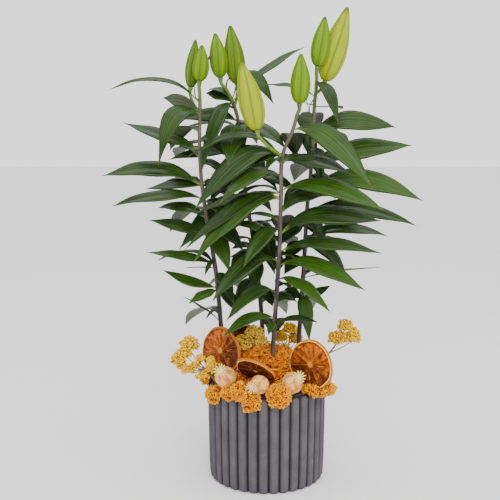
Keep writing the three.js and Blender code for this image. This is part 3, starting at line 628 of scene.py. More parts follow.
def mesh_from(name, body):
    """Ends a body as a mesh. Its faces go in the order of their vertices, so that it's the same each run."""
    body.verts.index_update()
    count = len(body.verts)

    def rank(face):
        first, second, third = sorted([vert.index for vert in face.verts])[:3]
        return (first * count + second) * count + third

    body.faces.sort(key=rank)
    mesh = bpy.data.meshes.new(name)
    body.to_mesh(mesh)
    body.free()
    return mesh


def shown(name, data):
    thing = bpy.data.objects.new(name, data)
    bpy.context.scene.collection.objects.link(thing)
    return thing


def small_shape(body):
    """Ends a small body that will be copied many times, as a mesh and its vertices' places."""
    bmesh.ops.recalc_face_normals(body, faces=body.faces)
    mesh = mesh_from("small_shape", body)
    mesh.shade_smooth()
    rest = [0.0] * (3 * len(mesh.vertices))
    mesh.vertices.foreach_get("co", rest)
    return mesh, rest


def add_copies(body, shapes, places):
    """Copies small shapes into body. Each place is a matrix and a tone."""
    for k, (matrix, tone) in enumerate(places):
        mesh, rest = shapes[k % len(shapes)]
        mesh.vertices.foreach_set("co", rest)
        mesh.transform(matrix)
        mesh.attributes["tone"].data.foreach_set("value", [tone] * len(mesh.vertices))
        body.from_mesh(mesh)
    for mesh, _ in shapes:
        bpy.data.meshes.remove(mesh)


def finished(name, body, materials, node):
    """Turns a body in millimetres into a piece of the model that stands for a node."""
    bmesh.ops.recalc_face_normals(body, faces=body.faces)
    bmesh.ops.scale(body, vec=(MM, MM, MM), verts=body.verts)
    mesh = mesh_from(name, body)
    for material in materials:
        mesh.materials.append(material)
    piece = shown(name, mesh)
    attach(piece, "root")
    if node:
        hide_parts(node)


# Materials


class Tree:
    """A tree of shader nodes, built node by node."""

    def __init__(self, tree):
        self.nodes = tree.nodes
        self.links = tree.links

    def put(self, value, socket):
        if isinstance(value, bpy.types.NodeSocket):
            self.links.new(value, socket)
        else:
            socket.default_value = value

    def add(self, kind, inputs, **settings):
        node = self.nodes.new(kind)
        for key, value in settings.items():
            setattr(node, key, value)
        for key, value in inputs.items():
            self.put(value, node.inputs[key])
        return node

    def spot(self, kind="Object", scale=(1, 1, 1)):
        """Object or UV coordinates, stretched."""
        source = self.nodes.new("ShaderNodeTexCoord").outputs[kind]
        return self.add("ShaderNodeMapping", {"Vector": source, "Scale": scale}).outputs["Vector"]

    def parts(self, vector):
        return self.add("ShaderNodeSeparateXYZ", {"Vector": vector}).outputs

    def tone(self):
        return self.add("ShaderNodeAttribute", {}, attribute_name="tone").outputs["Fac"]

    def grain(self, vector, scale, detail=4, roughness=0.55, distortion=0):
        inputs = {"Vector": vector, "Scale": scale, "Detail": detail, "Roughness": roughness}
        return self.add("ShaderNodeTexNoise", {**inputs, "Distortion": distortion}).outputs["Fac"]

    def streaks(self, kind, scale, detail, roughness=0.55):
        """Grain drawn out along the direction with the smallest scale."""
        return self.grain(self.spot(kind, scale), 1, detail, roughness)

    def cells(self, vector, scale):
        return self.add("ShaderNodeTexVoronoi", {"Vector": vector, "Scale": scale}).outputs["Distance"]

    def sum(self, operation, *values):
        return self.add("ShaderNodeMath", dict(enumerate(values)), operation=operation).outputs[0]

    def times(self, a, b):
        return self.sum("MULTIPLY", a, b)

    def span(self, value, low, high, start=0.0, end=1.0):
        """value, taken smoothly from low..high to start..end."""
        inputs = {"Value": value, "From Min": low, "From Max": high, "To Min": start, "To Max": end}
        return self.add("ShaderNodeMapRange", inputs, interpolation_type="SMOOTHSTEP").outputs["Result"]

    def blend(self, factor, a, b):
        """A mix of two colours. Sockets 6, 7 and 2 are the mix node's colour sockets."""
        return self.add("ShaderNodeMix", {0: factor, 6: a, 7: b}, data_type="RGBA").outputs[2]

    def ramp(self, factor, stops):
        node = self.add("ShaderNodeValToRGB", {"Fac": factor})
        elements = node.color_ramp.elements
        while len(elements) < len(stops):
            elements.new(0.5)
        for element, (position, colour) in zip(elements, stops):
            element.position = position
            element.color = colour
        return node.outputs["Color"]


class Look(Tree):
    """A procedural material: a first colour, with coats of others over it."""

    def __init__(self, name, roughness, specular, colour=None):
        self.material = bpy.data.materials.new(name)
        self.material.use_nodes = True
        super().__init__(self.material.node_tree)
        self.surface = self.nodes["Principled BSDF"].inputs
        self.put(roughness, self.surface["Roughness"])
        self.put(specular, self.surface["Specular IOR Level"])
        self.colour = colour
        self.normal = None

    def coat(self, factor, colour, strength=None):
        """Lays a colour over what is there."""
        if strength:
            factor = self.times(factor, strength)
        self.colour = self.blend(factor, self.colour, colour)

    def fade(self, value, none, full, colour, most=1.0):
        """Lays a colour over what is there: none of it where value is none, and most where it is full."""
        self.coat(self.span(value, none, full, 0, most), colour)

    def raise_by(self, height, distance, strength=1.0):
        """Adds a bump of a depth in millimetres."""
        inputs = {"Height": height, "Distance": distance * MM, "Strength": strength}
        if self.normal:
            inputs["Normal"] = self.normal
        self.normal = self.add("ShaderNodeBump", inputs).outputs["Normal"]

    def done(self, roughness=None):
        self.put(self.colour, self.surface["Base Color"])
        if roughness is not None:
            self.put(roughness, self.surface["Roughness"])
        if self.normal:
            self.put(self.normal, self.surface["Normal"])
        return self.material


def concrete_look(settings):
    look = Look("cast_concrete", 0.8, 0.35, settings.body)
    spot = look.spot()
    crest = look.tone()
    cloud = look.grain(spot, 38, 6, 0.62)
    speck = look.grain(spot, 620, 3, 0.6)
    streak = look.streaks("Object", (90, 90, 9), 4)
    nick = look.streaks("Object", (130, 130, 80), 5, 0.7)
    worn = look.times(look.span(crest, 0.8, 1.0), look.span(streak, 0.5, 0.7))
    rubbed = look.times(look.span(crest, 0.93, 1.0), look.span(nick, 0.6, 0.72))
    look.fade(cloud, 0.35, 0.68, settings.pale, 0.6)
    look.coat(worn, settings.pale, 0.6)
    look.coat(rubbed, tint(128, 124, 128), 0.5)
    # Painted shade: the concrete darkens from the crest down into each groove
    look.fade(crest, 0.95, 0.12, settings.dark)
    look.fade(speck, 0.62, 0.75, settings.dark, 0.35)
    look.raise_by(look.span(look.cells(spot, 340), 0.0, 0.22), 0.12, 0.5)
    look.raise_by(look.grain(spot, 900, 3), 0.1, 0.6)
    look.raise_by(cloud, 0.5, 0.35)
    return look.done(look.span(cloud, 0.3, 0.7, 0.86, 0.7))


def soil_look():
    look = Look("potting_soil", 0.95, 0.2)
    spot = look.spot()
    look.raise_by(look.cells(spot, 420), 1.0)
    look.colour = look.ramp(look.grain(spot, 300, 5), [(0.3, tint(30, 20, 14)), (0.7, tint(72, 52, 38))])
    return look.done()


def leaf_side(name, roughness, specular, vein_width):
    """One side of a leaf, with its veins, its fibres and the places across and along the blade."""
    look = Look(name, roughness, specular)
    place = look.parts(look.spot("UV"))
    across = look.sum("ABSOLUTE", look.sum("MULTIPLY_ADD", place[0], 2.0, -1.0))
    vein = look.span(look.sum("PINGPONG", across, 0.135), 0.0, vein_width, 1, 0)
    return look, vein, look.streaks("UV", (60, 3, 1), 3), across, place[1]


def leaf_looks(settings):
    upper, vein, fibre, across, along = leaf_side("leaf_upper", 0.4, 0.24, 0.05)
    rib = upper.span(across, 0.0, 0.04, 1, 0)
    patch = upper.grain(upper.spot(), 24, 3)
    upper.colour = upper.blend(upper.span(upper.tone(), 0.1, 1.0), settings.deep, settings.upper)
    upper.fade(patch, 0.35, 0.75, settings.upper, 0.5)
    upper.fade(patch, 0.55, 0.25, settings.deep, 0.55)
    upper.fade(fibre, 0.45, 0.8, settings.vein, 0.25)
    upper.coat(upper.sum("MAXIMUM", upper.times(vein, 0.24), upper.times(rib, 0.55)), settings.vein)
    upper.fade(across, 0.94, 1.0, settings.vein, 0.6)
    upper.fade(along, 0.16, 0.03, settings.petiole)
    upper.fade(along, 0.93, 1.0, tint(120, 116, 50), 0.6)
    upper.raise_by(rib, 0.9, -0.8)
    upper.raise_by(vein, 0.4, -0.5)
    upper.raise_by(fibre, 0.25, 0.3)

    under, vein, fibre, _, along = leaf_side("leaf_under", 0.55, 0.25, 0.03)
    under.colour = under.blend(under.span(fibre, 0.3, 0.8), settings.under, tint(48, 64, 32))
    # Brighter leaves get a paler grey underside: partly the underside's own colour, partly painted sheen
    under.coat(under.span(under.tone(), 0.6, 0.9, 0, 0.6), tint(112, 118, 100))
    under.coat(vein, tint(140, 146, 118), 0.4)
    under.fade(along, 0.16, 0.03, settings.petiole)
    under.raise_by(vein, 0.5, 0.5)
    return upper.done(upper.span(patch, 0.3, 0.7, 0.26, 0.42)), under.done()


def bark_look():
    """Stems: dark purple low down, grey-brown above, green under the buds."""
    look = Look("stem_bark", 0.55, 0.4)
    rise = look.parts(look.spot())[2]
    streak = look.streaks("Object", (420, 420, 40), 4)
    look.colour = look.ramp(look.times(rise, 1 / BARK_REACH), [
        (0.26, tint(106, 92, 78)), (0.33, tint(56, 42, 42)), (0.40, tint(30, 22, 24)),
        (0.56, tint(60, 48, 50)), (0.72, tint(88, 76, 72)), (0.84, tint(74, 70, 46)),
        (0.93, tint(88, 108, 34))])
    look.fade(streak, 0.45, 0.75, tint(128, 116, 104), 0.45)
    look.fade(streak, 0.45, 0.2, tint(24, 18, 18), 0.5)
    look.raise_by(streak, 0.4, 0.6)
    return look.done()


def stalk_look(name, roughness, specular, scale, a, b, sharp=False):
    """Two colours in streaks along a thin stalk."""
    look = Look(name, roughness, specular, a)
    streak = look.streaks("Object", scale, 3)
    look.coat(look.span(streak, 0.3, 0.7) if sharp else streak, b)
    return look.done()


def bud_look(settings):
    look = Look("lily_bud", 0.5, 0.15)
    place = look.parts(look.spot("UV"))
    ripe = look.tone()
    turn = look.sum("FRACT", look.sum("MULTIPLY_ADD", place[0], 6.0, 0.5))
    beside = look.sum("PINGPONG", turn, 0.5)
    seam = look.span(beside, 0.0, 0.05, 1, 0)
    seam_shade = look.span(beside, 0.0, 0.26, 1, 0)
    fibre = look.streaks("UV", (110, 3, 1), 4)
    blush = look.span(look.streaks("UV", (5, 2, 1), 2), 0.52, 0.72, 0, 0.4)
    look.colour = look.blend(look.span(ripe, 0.0, 1.0), settings.fresh, settings.ripe)
    # Painted shade: the buds behind are laid over with a duller, darker green
    look.fade(ripe, 0.0, -1.0, settings.painted_shade_green)
    look.fade(fibre, 0.45, 0.8, settings.ripe, 0.4)
    # Painted highlight: paler down the middle of each panel, along its rounded crest
    look.fade(beside, 0.36, 0.5, settings.ripe, 0.4)
    # Painted shade: darker in a broad band beside each seam
    look.coat(seam_shade, settings.seam, 0.3)
    look.coat(seam, settings.seam, 0.7)
    look.fade(place[1], 0.78, 0.97, settings.seam, 0.75)
    look.fade(place[1], 0.965, 1.0, tint(58, 60, 22), 0.8)
    look.coat(look.times(blush, look.span(ripe, 0.3, 1.0)), tint(150, 120, 40))
    look.raise_by(seam, 0.8, -0.6)
    look.raise_by(fibre, 0.35, 0.4)
    return look.done()


def fruit_look(name, settings, dark, pith, painted_light_side):
    look = Look(name, 0.5, 0.2)
    spot = look.spot("UV")
    x, y = look.parts(spot)[:2]
    radius = look.sum("SQRT", look.sum("ADD", look.times(x, x), look.times(y, y)))
    turn = look.sum("ARCTAN2", y, x)
    wobble = look.sum("MULTIPLY_ADD", look.grain(spot, 3.4, 3), 0.24, -0.12)
    wedge = look.sum("MULTIPLY_ADD", turn, SLICE_SEGMENTS / math.tau, SLICE_SEGMENTS)
    gap = look.times(look.sum("PINGPONG", look.sum("ADD", wedge, wobble), 0.5), radius)
    ring = look.sum("ADD", radius, look.times(wobble, 0.14))

    # Streaks of dried juice run out from the middle
    steady = look.sum("MAXIMUM", radius, 0.02)
    outward = {"X": look.sum("DIVIDE", x, steady), "Y": look.sum("DIVIDE", y, steady)}
    spread = look.add("ShaderNodeCombineXYZ", {**outward, "Z": look.times(radius, 0.5)}).outputs[0]
    pulp = look.grain(spread, 6.5, 5, 0.62, 0.4)

    # One side is painted lighter and the other darker, as painted light and shade; the blotches and how dark a slice
    # is are partly its dried colour and partly painted shade
    side_x, side_y = around(1, math.radians(painted_light_side))
    lit = look.sum("ADD", look.times(x, side_x), look.times(y, side_y))
    shade = look.sum("MULTIPLY_ADD", look.grain(spot, 2.6, 4, 0.6), 2.0, dark - 1.0)
    shade = look.sum("MULTIPLY_ADD", lit, -0.65, shade)
    look.colour = look.blend(look.span(shade, 0.0, 0.75), settings.pulp, settings.dark_pulp)
    look.fade(pulp, 0.52, 0.38, settings.dark_pulp, 0.9)
    look.fade(pulp, 0.56, 0.72, tint(250, 160, 4), 0.9 - 0.6 * dark)

    # The membranes, the star at the middle and the pith and rind at the edge
    beside = look.times(look.span(gap, 0.02, 0.085, 1, 0), look.span(radius, 0.1, 0.3))
    membrane = look.times(look.span(gap, 0.004, 0.018, 1, 0), look.span(pulp, 0.42, 0.62, 0.25, 1))
    star = look.span(look.sum("ADD", radius, look.times(pulp, 0.3)), 0.3, 0.2)
    look.coat(beside, tint(60, 24, 0), 0.6)
    look.coat(membrane, tint(222, 138, 46), 0.75)
    look.coat(star, tint(226, 150, 50))
    look.fade(ring, 0.8, 0.9, tint(84, 34, 0), 0.65)
    look.fade(ring, 0.908, 0.925, look.blend(pith, settings.rind, settings.pith))
    rind = look.blend(look.grain(spot, 22, 4), settings.rind, tint(206, 116, 14))
    look.fade(ring, 0.943, 0.957, rind)
    look.raise_by(pulp, 1.2, 0.8)
    look.raise_by(look.cells(look.spot(), 900), 0.12, 0.4)
    look.put(0.1, look.surface["Subsurface Weight"])
    look.put((0.004, 0.0016, 0.0006), look.surface["Subsurface Radius"])
    return look.done(look.span(ring, 0.84, 0.95, 0.3, 0.66))


def poppy_looks(settings):
    shell = Look("poppy_shell", 0.62, 0.4, settings.shell)
    streak = shell.streaks("UV", (46, 2.2, 1), 4)
    patch = shell.streaks("UV", (7, 3.4, 1), 4)
    mottle = shell.grain(shell.spot(), 260, 4)
    along = shell.parts(shell.spot("UV"))[1]
    shell.fade(patch, 0.44, 0.62, settings.blush, 0.85)
    shell.fade(streak, 0.5, 0.75, tint(150, 88, 54), 0.75)
    shell.fade(mottle, 0.52, 0.7, tint(178, 118, 80), 0.55)
    shell.fade(mottle, 0.42, 0.25, tint(252, 216, 168), 0.5)
    shell.fade(along, 0.3, 0.02, tint(176, 112, 74), 0.55)
    shell.raise_by(streak, 0.4, 0.5)

    crown = Look("poppy_crown", 0.7, 0.35, settings.crown)
    fibre = crown.streaks("UV", (40, 3, 1), 3)
    crown.fade(fibre, 0.3, 0.75, tint(206, 164, 108))
    crown.raise_by(fibre, 0.3, 0.5)
    return shell.done(), crown.done()


def bloom_look(name, bright, deep, shade, scale, pale=None):
    """Many small flowers: a tone for each, and painted shade where they meet."""
    look = Look(name, 0.85, 0.05, deep)
    tone = look.tone()
    grain = look.grain(look.spot(), scale, 3)
    look.fade(tone, 0.0, 1.0, bright)
    # Painted light: a tone above 1 lays on the pale colour
    if pale:
        look.fade(tone, 1.0, 2.0, pale)
    # Painted shade where the flowers meet
    look.fade(grain, 0.58, 0.3, shade, 0.55)
    look.raise_by(grain, 0.5, 0.8)
    return look.done()


def moss_looks(settings):
    strand = Look("moss_strand", 0.85, 0.05)
    tone = strand.tone()
    grain = strand.grain(strand.spot(), 700, 2)
    strand.colour = strand.ramp(tone, [
        (0.0, settings.deep), (0.55, settings.bright), (1.0, tint(255, 186, 60))])
    strand.fade(grain, 0.55, 0.3, settings.deep, 0.5)

    # The bed is dark as painted shade between the strands, with patches of the strands' deep orange
    bed = Look("moss_bed", 0.95, 0.2, settings.bed)
    grain = bed.grain(bed.spot(), 320, 5, 0.65)
    bed.fade(grain, 0.4, 0.7, settings.deep)
    bed.raise_by(grain, 1.6)
    return strand.done(), bed.done()


# Shapes


def crest_radius(height):
    return along_curve(POT_CREST, height)


def pot_body(settings):
    """One flute, spun round to make the wall. The rim, the bore and the foot grow from its open edges."""
    depth = settings.depth / MM
    flutes = settings.flutes
    pitch = math.pi / flutes
    half_width = FLUTE_RADIUS * pitch * (1 - settings.groove)
    dome = FLUTE_CROWN - half_width

    def groove_radius(height):
        if height < POT_SHOULDER:
            return crest_radius(height) - depth
        share = (height - POT_SHOULDER) / (POT_HEIGHT - POT_SHOULDER)
        return mixed(crest_radius(POT_SHOULDER) - depth, POT_NECK, share)

    def standing(i, height):
        """How far the flute stands out here, from 0 to 1."""
        across = (2 * i / FLUTE_COLUMNS - 1) / (1 - settings.groove)
        up = max(0.0, height - dome) / half_width
        foot = 1 - max(0.0, 1 - height / FLUTE_FOOT) ** 2 * FLUTE_FOOT_LOSS
        wear = 1 + FLUTE_WEAR * noise.noise(Vector((i * 0.4, height * 0.09, 3)))
        return foot * wear * max(0.0, 1 - abs(across) ** 2.2 - up ** 2) ** 0.5

    def place(i, j):
        height = FLUTE_HEIGHTS[j]
        radius = groove_radius(height) + depth * standing(i, height)
        return polar(radius, math.radians(FLUTE_TURN) + pitch * 2 * i / FLUTE_COLUMNS, height)

    body = new_body()
    add_grid(body, FLUTE_COLUMNS, len(FLUTE_HEIGHTS) - 1, place)
    body.verts.ensure_lookup_table()
    tone = body.verts.layers.float["tone"]
    for vert in body.verts:
        vert[tone] = clamped((off_axis(vert.co) - groove_radius(vert.co.z)) / depth)
    bmesh.ops.spin(body, geom=body.verts[:] + body.edges[:] + body.faces[:], axis=UP, cent=(0, 0, 0),
                   angle=2 * pitch * (flutes - 1), steps=flutes - 1, use_duplicate=True)
    bmesh.ops.remove_doubles(body, verts=body.verts, dist=FLUTE_WELD)

    def grow(at_height, steps):
        """Extrudes an open edge by steps: a radius, or a share of the outline, and a height."""
        edges = [edge for edge in open_edges(body)
                 if all(abs(vert.co.z - at_height) < FLUTE_WELD for vert in edge.verts)]
        for size, height in steps:
            verts, edges = extruded(body, edges)
            for vert in verts:
                share = size / off_axis(vert.co) if size > 1 else size
                vert.co = (vert.co.x * share, vert.co.y * share, height)
                vert[tone] = PLAIN_TONE
        bmesh.ops.contextual_create(body, geom=edges)

    grow(FLUTE_HEIGHTS[-1], POT_RIM_AND_BORE)
    grow(0, POT_FOOT)
    for face in body.faces:
        face.smooth = True
    return body


def slice_frame(row):
    centre, turn, rise, roll = row[:4]
    turn, rise = math.radians(turn), math.radians(rise)
    normal = polar(math.cos(rise), turn, math.sin(rise))
    return Matrix.Translation(centre) @ Matrix.Rotation(math.radians(roll), 4, normal) @ facing(normal)


def moss_height(x, y):
    share = min(math.hypot(x, y) / MOSS_RADIUS, 1)
    mound = MOSS_EDGE + MOSS_RISE * (1 - share ** 2) ** MOSS_ROUNDING
    rough = math.sin(0.62 * x + 1.3 * math.sin(0.31 * y)) * math.cos(0.57 * y + 1.1 * math.sin(0.37 * x))
    height = mound + MOSS_ROUGHNESS * rough

    # The slice that leans forward keeps the moss clear of its face
    matrix = slice_frame(LEANING_SLICE)
    centre, normal = matrix.translation, matrix.col[2]
    above = centre.z - (normal.x * (x - centre.x) + normal.y * (y - centre.y)) / normal.z
    beyond = off_axis(matrix.inverted() @ Vector((x, y, above)))
    hollow = eased((LEANING_SLICE[4] + MOSS_HOLLOW_EDGE - beyond) / MOSS_HOLLOW_EDGE)
    return mixed(height, min(height, MOSS_HOLLOW), hollow)


def inside_fruit(point, margin):
    """Whether a point lies in an orange slice or a poppy head."""
    for row in SLICES.values():
        local = slice_frame(row).inverted() @ point
        if abs(local.z) < SLICE_THICKNESS / 2 + margin and off_axis(local) < row[4] + margin:
            return True
    return any((point - Vector(row[0])).length < row[2] + margin for row in POPPIES.values())


def moss_bed():
    columns, rows = 120, 40

    def place(i, j):
        x, y = around(MOSS_RADIUS * j / rows, math.tau * i / columns)
        lumps = 1.6 * noise.noise(Vector((x, y, 0)) * 0.22) + 0.9 * noise.noise(Vector((x, y, 7)) * 0.6)
        return Vector((x, y, moss_height(x, y) - BED_DEPTH + lumps))

    body = new_body()
    add_grid(body, columns, rows, place)
    for vert in extruded(body, open_edges(body))[0]:
        vert.co.z = MOSS_UNDERSIDE
    return closed(body)


def strand_shape(draw, upright, thickness):
    """A curled strand that lies on the bed, or one that stands up from it."""
    length, height = draw.uniform(9, 16), draw.uniform(3.5, 8)
    sway, beat = draw.uniform(1.5, 3.6), draw.uniform(0.7, 1.6)
    phase = draw.uniform(0, math.tau)
    points, radii = [], []
    for k in range(STRAND_STEPS + 1):
        t = k / STRAND_STEPS
        rise = mixed(math.sin(math.pi * t), 1.3 * t, upright) * height
        swing = sway * math.sin(math.tau * beat * t + phase)
        points.append(Vector((length * (t - 0.5) * mixed(1, 0.35, upright), swing, rise)))
        radii.append(thickness * mixed(1, 0.55, t))
    shape = new_body()
    add_tube(shape, points, radii, 3)
    return small_shape(shape)


def moss_strands(settings):
    """Curled strands: a few shapes, copied all over the bed."""
    draw = random.Random(5)
    thickness, reach = settings.thickness / MM, settings.reach / MM
    shapes = [strand_shape(draw, float(number % 4 == 0), thickness) for number in range(STRAND_SHAPES)]
    places = []
    while len(places) < settings.strands:
        radius, turn = (MOSS_RADIUS - 1) * math.sqrt(draw.random()), draw.uniform(0, math.tau)
        x, y = around(radius, turn)
        point = Vector((x, y, moss_height(x, y) - draw.uniform(1.5, 3.5)))
        lean = Vector((x / 60 + draw.gauss(0, 0.4), y / 60 + draw.gauss(0, 0.4), 1))
        size = draw.uniform(0.65, 1.25) * reach / STRAND_HEIGHT
        if not any(inside_fruit(point + UP * rise, 1.0) for rise in (2, 5, 9)):
            matrix = placed(point, lean) @ spun(draw) @ Matrix.Scale(size, 4)
            places.append((matrix, draw.random()))
    body = new_body()
    add_copies(body, shapes, places)
    return body


def leaf_outline(share):
    return LEAF_FULLNESS * share ** LEAF_ROOT_TAPER * (1 - share) ** LEAF_TIP_TAPER


def add_leaf(body, root, row, settings, draw, brightest):
    """One blade: its top and its under side are the two halves of a grid that closes round it."""
    _, turn, reach, fall, arch, width, face = row[:7]
    skew = row[7] if len(row) > 7 else LEAF_SKEW
    heading = polar(1, math.radians(turn))
    level = Vector((-heading.y, heading.x, 0))
    lean = math.radians(face) * heading.x
    rows = 20 if reach > LONG_LEAF else 14
    half_thickness = settings.thickness / MM / 2
    waves, phase = draw.uniform(1.3, 2.6), draw.uniform(0, math.tau)
    twist = draw.uniform(-1, 1) * settings.twist
    sway = draw.uniform(-1, 1) * LEAF_SWAY * reach
    wave = settings.wave / MM * draw.uniform(0.3, 1.0) * min(1.0, reach / LONG_LEAF)

    def place(i, j):
        share = (j / rows) ** LEAF_CROWDING
        swing = 1 - 2 * share
        rise = 4 * arch * share * (1 - share) * (1 + skew * swing)
        centre = root + heading * (reach * share) + level * (sway * math.sin(math.pi * share))
        centre.z += rise - fall * share
        steep = 4 * arch * (swing * (1 + skew * swing) - 2 * skew * share * (1 - share)) - fall
        along = (heading * reach + UP * steep).normalized()
        over = along.cross(level)
        angle = lean + twist * share ** 1.5
        side = level * math.cos(angle) + over * math.sin(angle)
        up = along.cross(side)
        half = max(width / 2 * leaf_outline(share), LEAF_ROOT_HALF_WIDTH * (1 - share)) if share < 1 else 0.0
        channel = mixed(CHANNEL_AT_ROOT, CHANNEL_AT_MIDDLE, math.sin(math.pi * share)) * half

        # Round the blade: over the top from one edge to the other, then back under it
        turned = 2 * i / LEAF_COLUMNS
        across = 2 * turned - 1 if turned <= 1 else 3 - 2 * turned
        lift = channel * abs(across) ** 1.2 + 0.07 * half * math.sin(math.pi * abs(across))
        ripple = math.sin(math.tau * waves * share + phase + (0.9 if across > 0 else 0))
        lift += wave * min(1.0, half / 3) * across ** 2 * ripple
        skin = half_thickness * math.sqrt(max(0.0, 1 - across ** 2)) * min(1.0, half / 1.2)
        return centre + side * (across * half) + up * (lift + (skin if turned <= 1 else -skin))

    def blade_uv(a, b):
        return (2 * a if a <= 0.5 else 2 - 2 * a), b

    by_height = mixed(LOWEST_TONE, HIGHEST_TONE, (root.z - LOWEST_LEAF) / LEAFY_HEIGHT)
    # A random tone up to the brightest, scaled by height; the inner leaves' lower brightest tone is painted shade
    tone = draw.uniform(0.1, 1.0) * brightest * by_height
    add_grid(body, LEAF_COLUMNS, rows, place, tone, (0, 1), blade_uv)
    closed(body)


def rear_leaves(name):
    rows = []
    for i, turn in enumerate(REAR_TURNS[name]):
        reach = REAR_REACH[name] + REAR_REACH_SWING * math.sin(2.4 * i)
        fall = REAR_FALL + REAR_FALL_SWING * math.sin(1.7 * i + 1)
        rows.append((REAR_LOWEST[name] + REAR_STEP * i, turn, reach, fall, REAR_ARCH, REAR_WIDTH, 0))
    return rows


def bud_seat(row):
    """The last points of a stem or a stalk, where it swells under its bud."""
    along = (Vector(row[3]) - Vector(row[2])).normalized()
    end = Vector(row[2]) - along * BUD_GAP
    neck = end - along * BUD_SEAT_LENGTH
    return [neck, neck.lerp(end, 0.35), neck.lerp(end, 0.7), end]


def add_stalk(body, name, row):
    """A bud's stalk: it leaves its stem upwards and bows out a little on its way."""
    start = stem_at(name, row[1])
    seat = bud_seat(row)
    neck = seat[0]
    sag = min(3.0, (neck - start).length * 0.08)
    outward = Vector((neck.x - start.x, neck.y - start.y, 0)).normalized()
    shares = [k / STALK_STEPS for k in range(STALK_STEPS)]
    points = [start.lerp(neck, t) + outward * (sag * math.sin(math.pi * t)) for t in shares]
    radii = [mixed(*STALK_RADII, t) for t in shares]
    add_tube(body, points + seat, radii + STALK_SEAT_RADII, 12, material=3)


def add_shoot(body, row):
    """A thin side shoot, smooth through its points. Some end in a small withered bud."""
    knots, first, last, budded = row
    steps = SHOOT_STEPS * (len(knots) - 1)
    spans = [[(k, knot[c]) for k, knot in enumerate(knots)] for c in range(3)]
    points = [Vector([along_curve(span, k / SHOOT_STEPS) for span in spans]) for k in range(steps + 1)]
    radii = [mixed(first, last, k / steps) for k in range(steps + 1)]
    if budded:
        end = points[-1]
        along = (end - points[-2]).normalized()
        points += [end + along * reach for reach, _ in WITHERED_BUD]
        radii += [radius for _, radius in WITHERED_BUD]
    add_tube(body, points, radii, 8, material=4)


def add_stem(body, name, leaf_heights):
    first, last = STEMS[name][0][0], STEMS[name][-1][0]
    points, radii = [], []
    for k in range(STEM_STEPS + 1):
        height = mixed(first, last - 2 * BUD_SEAT_LENGTH, k / STEM_STEPS)
        swelling = max([0.0] + [1 - abs(height - root) / 4 for root in leaf_heights])
        radius = mixed(STEM_FOOT_RADIUS, STEM_TOP_RADIUS, (height - first) / (last - first))
        points.append(stem_at(name, height))
        radii.append(radius * (0.94 + 0.12 * swelling))
    top = next(row for row in BUDS.values() if row[:2] == (name, last))
    add_tube(body, points + bud_seat(top), radii + STEM_SEAT_RADII, 12, material=2)


def lily_body(name, settings):
    draw = random.Random(len(name) * 7 + ord(name[0]))
    rows = FRONT_LEAVES[name] + rear_leaves(name)
    body = new_body()
    add_stem(body, name, [row[0] for row in rows])
    for row in BUDS.values():
        if row[0] == name and row[1] < STEMS[name][-1][0]:
            add_stalk(body, name, row)
    for leaves, brightest in ((rows, OUTER_TONE), (INNER_LEAVES[name], INNER_SHADE_TONE)):
        for row in leaves:
            add_leaf(body, stem_at(name, row[0]), row, settings, draw, brightest)
    for row in SHOOTS.get(name, []):
        add_shoot(body, row)
    return body


def bud_body(row, settings):
    foot, tip, width, ripe = Vector(row[2]), Vector(row[3]), row[4], row[5]
    axis = tip - foot
    across = Vector((0, 1, 0)).cross(axis).normalized()
    up = axis.cross(across).normalized()
    columns, rows = 72, 44
    spiral = math.radians(BUD_SPIRAL if ripe < 0.5 else RIPE_SPIRAL)

    def place(i, j):
        share = 1 - (1 - j / rows) ** 1.25
        angle = math.tau * i / columns
        seam_gap = abs(math.degrees(angle) % 60 - 30)
        rib_gap = abs((math.degrees(angle) + 60) % 120 - 60)
        shape = 1 + 0.022 * math.cos(3 * angle) + 0.012 * math.cos(6 * angle)
        fade = eased(share / 0.12) * eased((1 - share) / 0.06)
        shape -= settings.seam_depth * fade * math.exp(-(seam_gap / SEAM_WIDTH) ** 2)
        shape += RIB_HEIGHT * fade * math.exp(-(rib_gap / RIB_WIDTH) ** 2)
        x, y = around(width / 2 * along_curve(BUD_PROFILE, share) * shape, angle + spiral * (share - 0.3))
        return foot + axis * share + across * x + up * y

    body = new_body()
    add_grid(body, columns, rows, place, ripe)
    return closed(body)


def fruit_body(row, settings):
    """A slice: one grid from the middle of its face, over the rim, to the middle of its back."""
    matrix = slice_frame(row)
    radius = row[4]
    sink = settings.sink / MM
    columns, rows = 140, 64
    seed = Vector((row[0][0], row[0][1], 0))

    def folded(b):
        """How far from the middle, and whether on the face."""
        return (2 * b, True) if 2 * b < 1 else (2 - 2 * b, False)

    def place(i, j):
        turn = math.tau * i / columns
        share, on_face = folded(j / rows)
        rim = max(0.0, (share - SLICE_RIM) / (1 - SLICE_RIM))
        ring = share ** SLICE_SPREAD * (1 + SLICE_UNEVEN * noise.noise(polar(2, turn, 1) + seed))
        wedge = turn * SLICE_SEGMENTS / math.tau
        from_membrane = abs(wedge - round(wedge)) * math.tau / SLICE_SEGMENTS * ring * radius
        bed = eased((from_membrane - 0.3) / 1.6) * eased((0.9 - ring) / 0.05)
        bed *= eased((ring - SLICE_CORE) / 0.1)
        lumps = noise.noise(polar(9, turn, ring * 5) * 1.4 + seed) * eased(ring / SLICE_CORE)
        half = SLICE_THICKNESS / 2 * (FACE_STANDS if on_face else BACK_STANDS)
        level = half - sink * bed * (1 + 0.5 * lumps) + 0.25 * lumps
        if rim > 0:
            level = half * math.sqrt(max(0.0, 1 - rim ** 2))
        warp = SLICE_WARP * math.cos(2 * turn) * ring ** 2 * (radius / 26) ** 2
        return matrix @ polar(radius * ring, turn, (level if on_face else -level) + warp)

    body = new_body()
    add_grid(body, columns, rows, place,
             uv_at=lambda a, b: around(folded(b)[0] ** SLICE_SPREAD, math.tau * a))
    return body


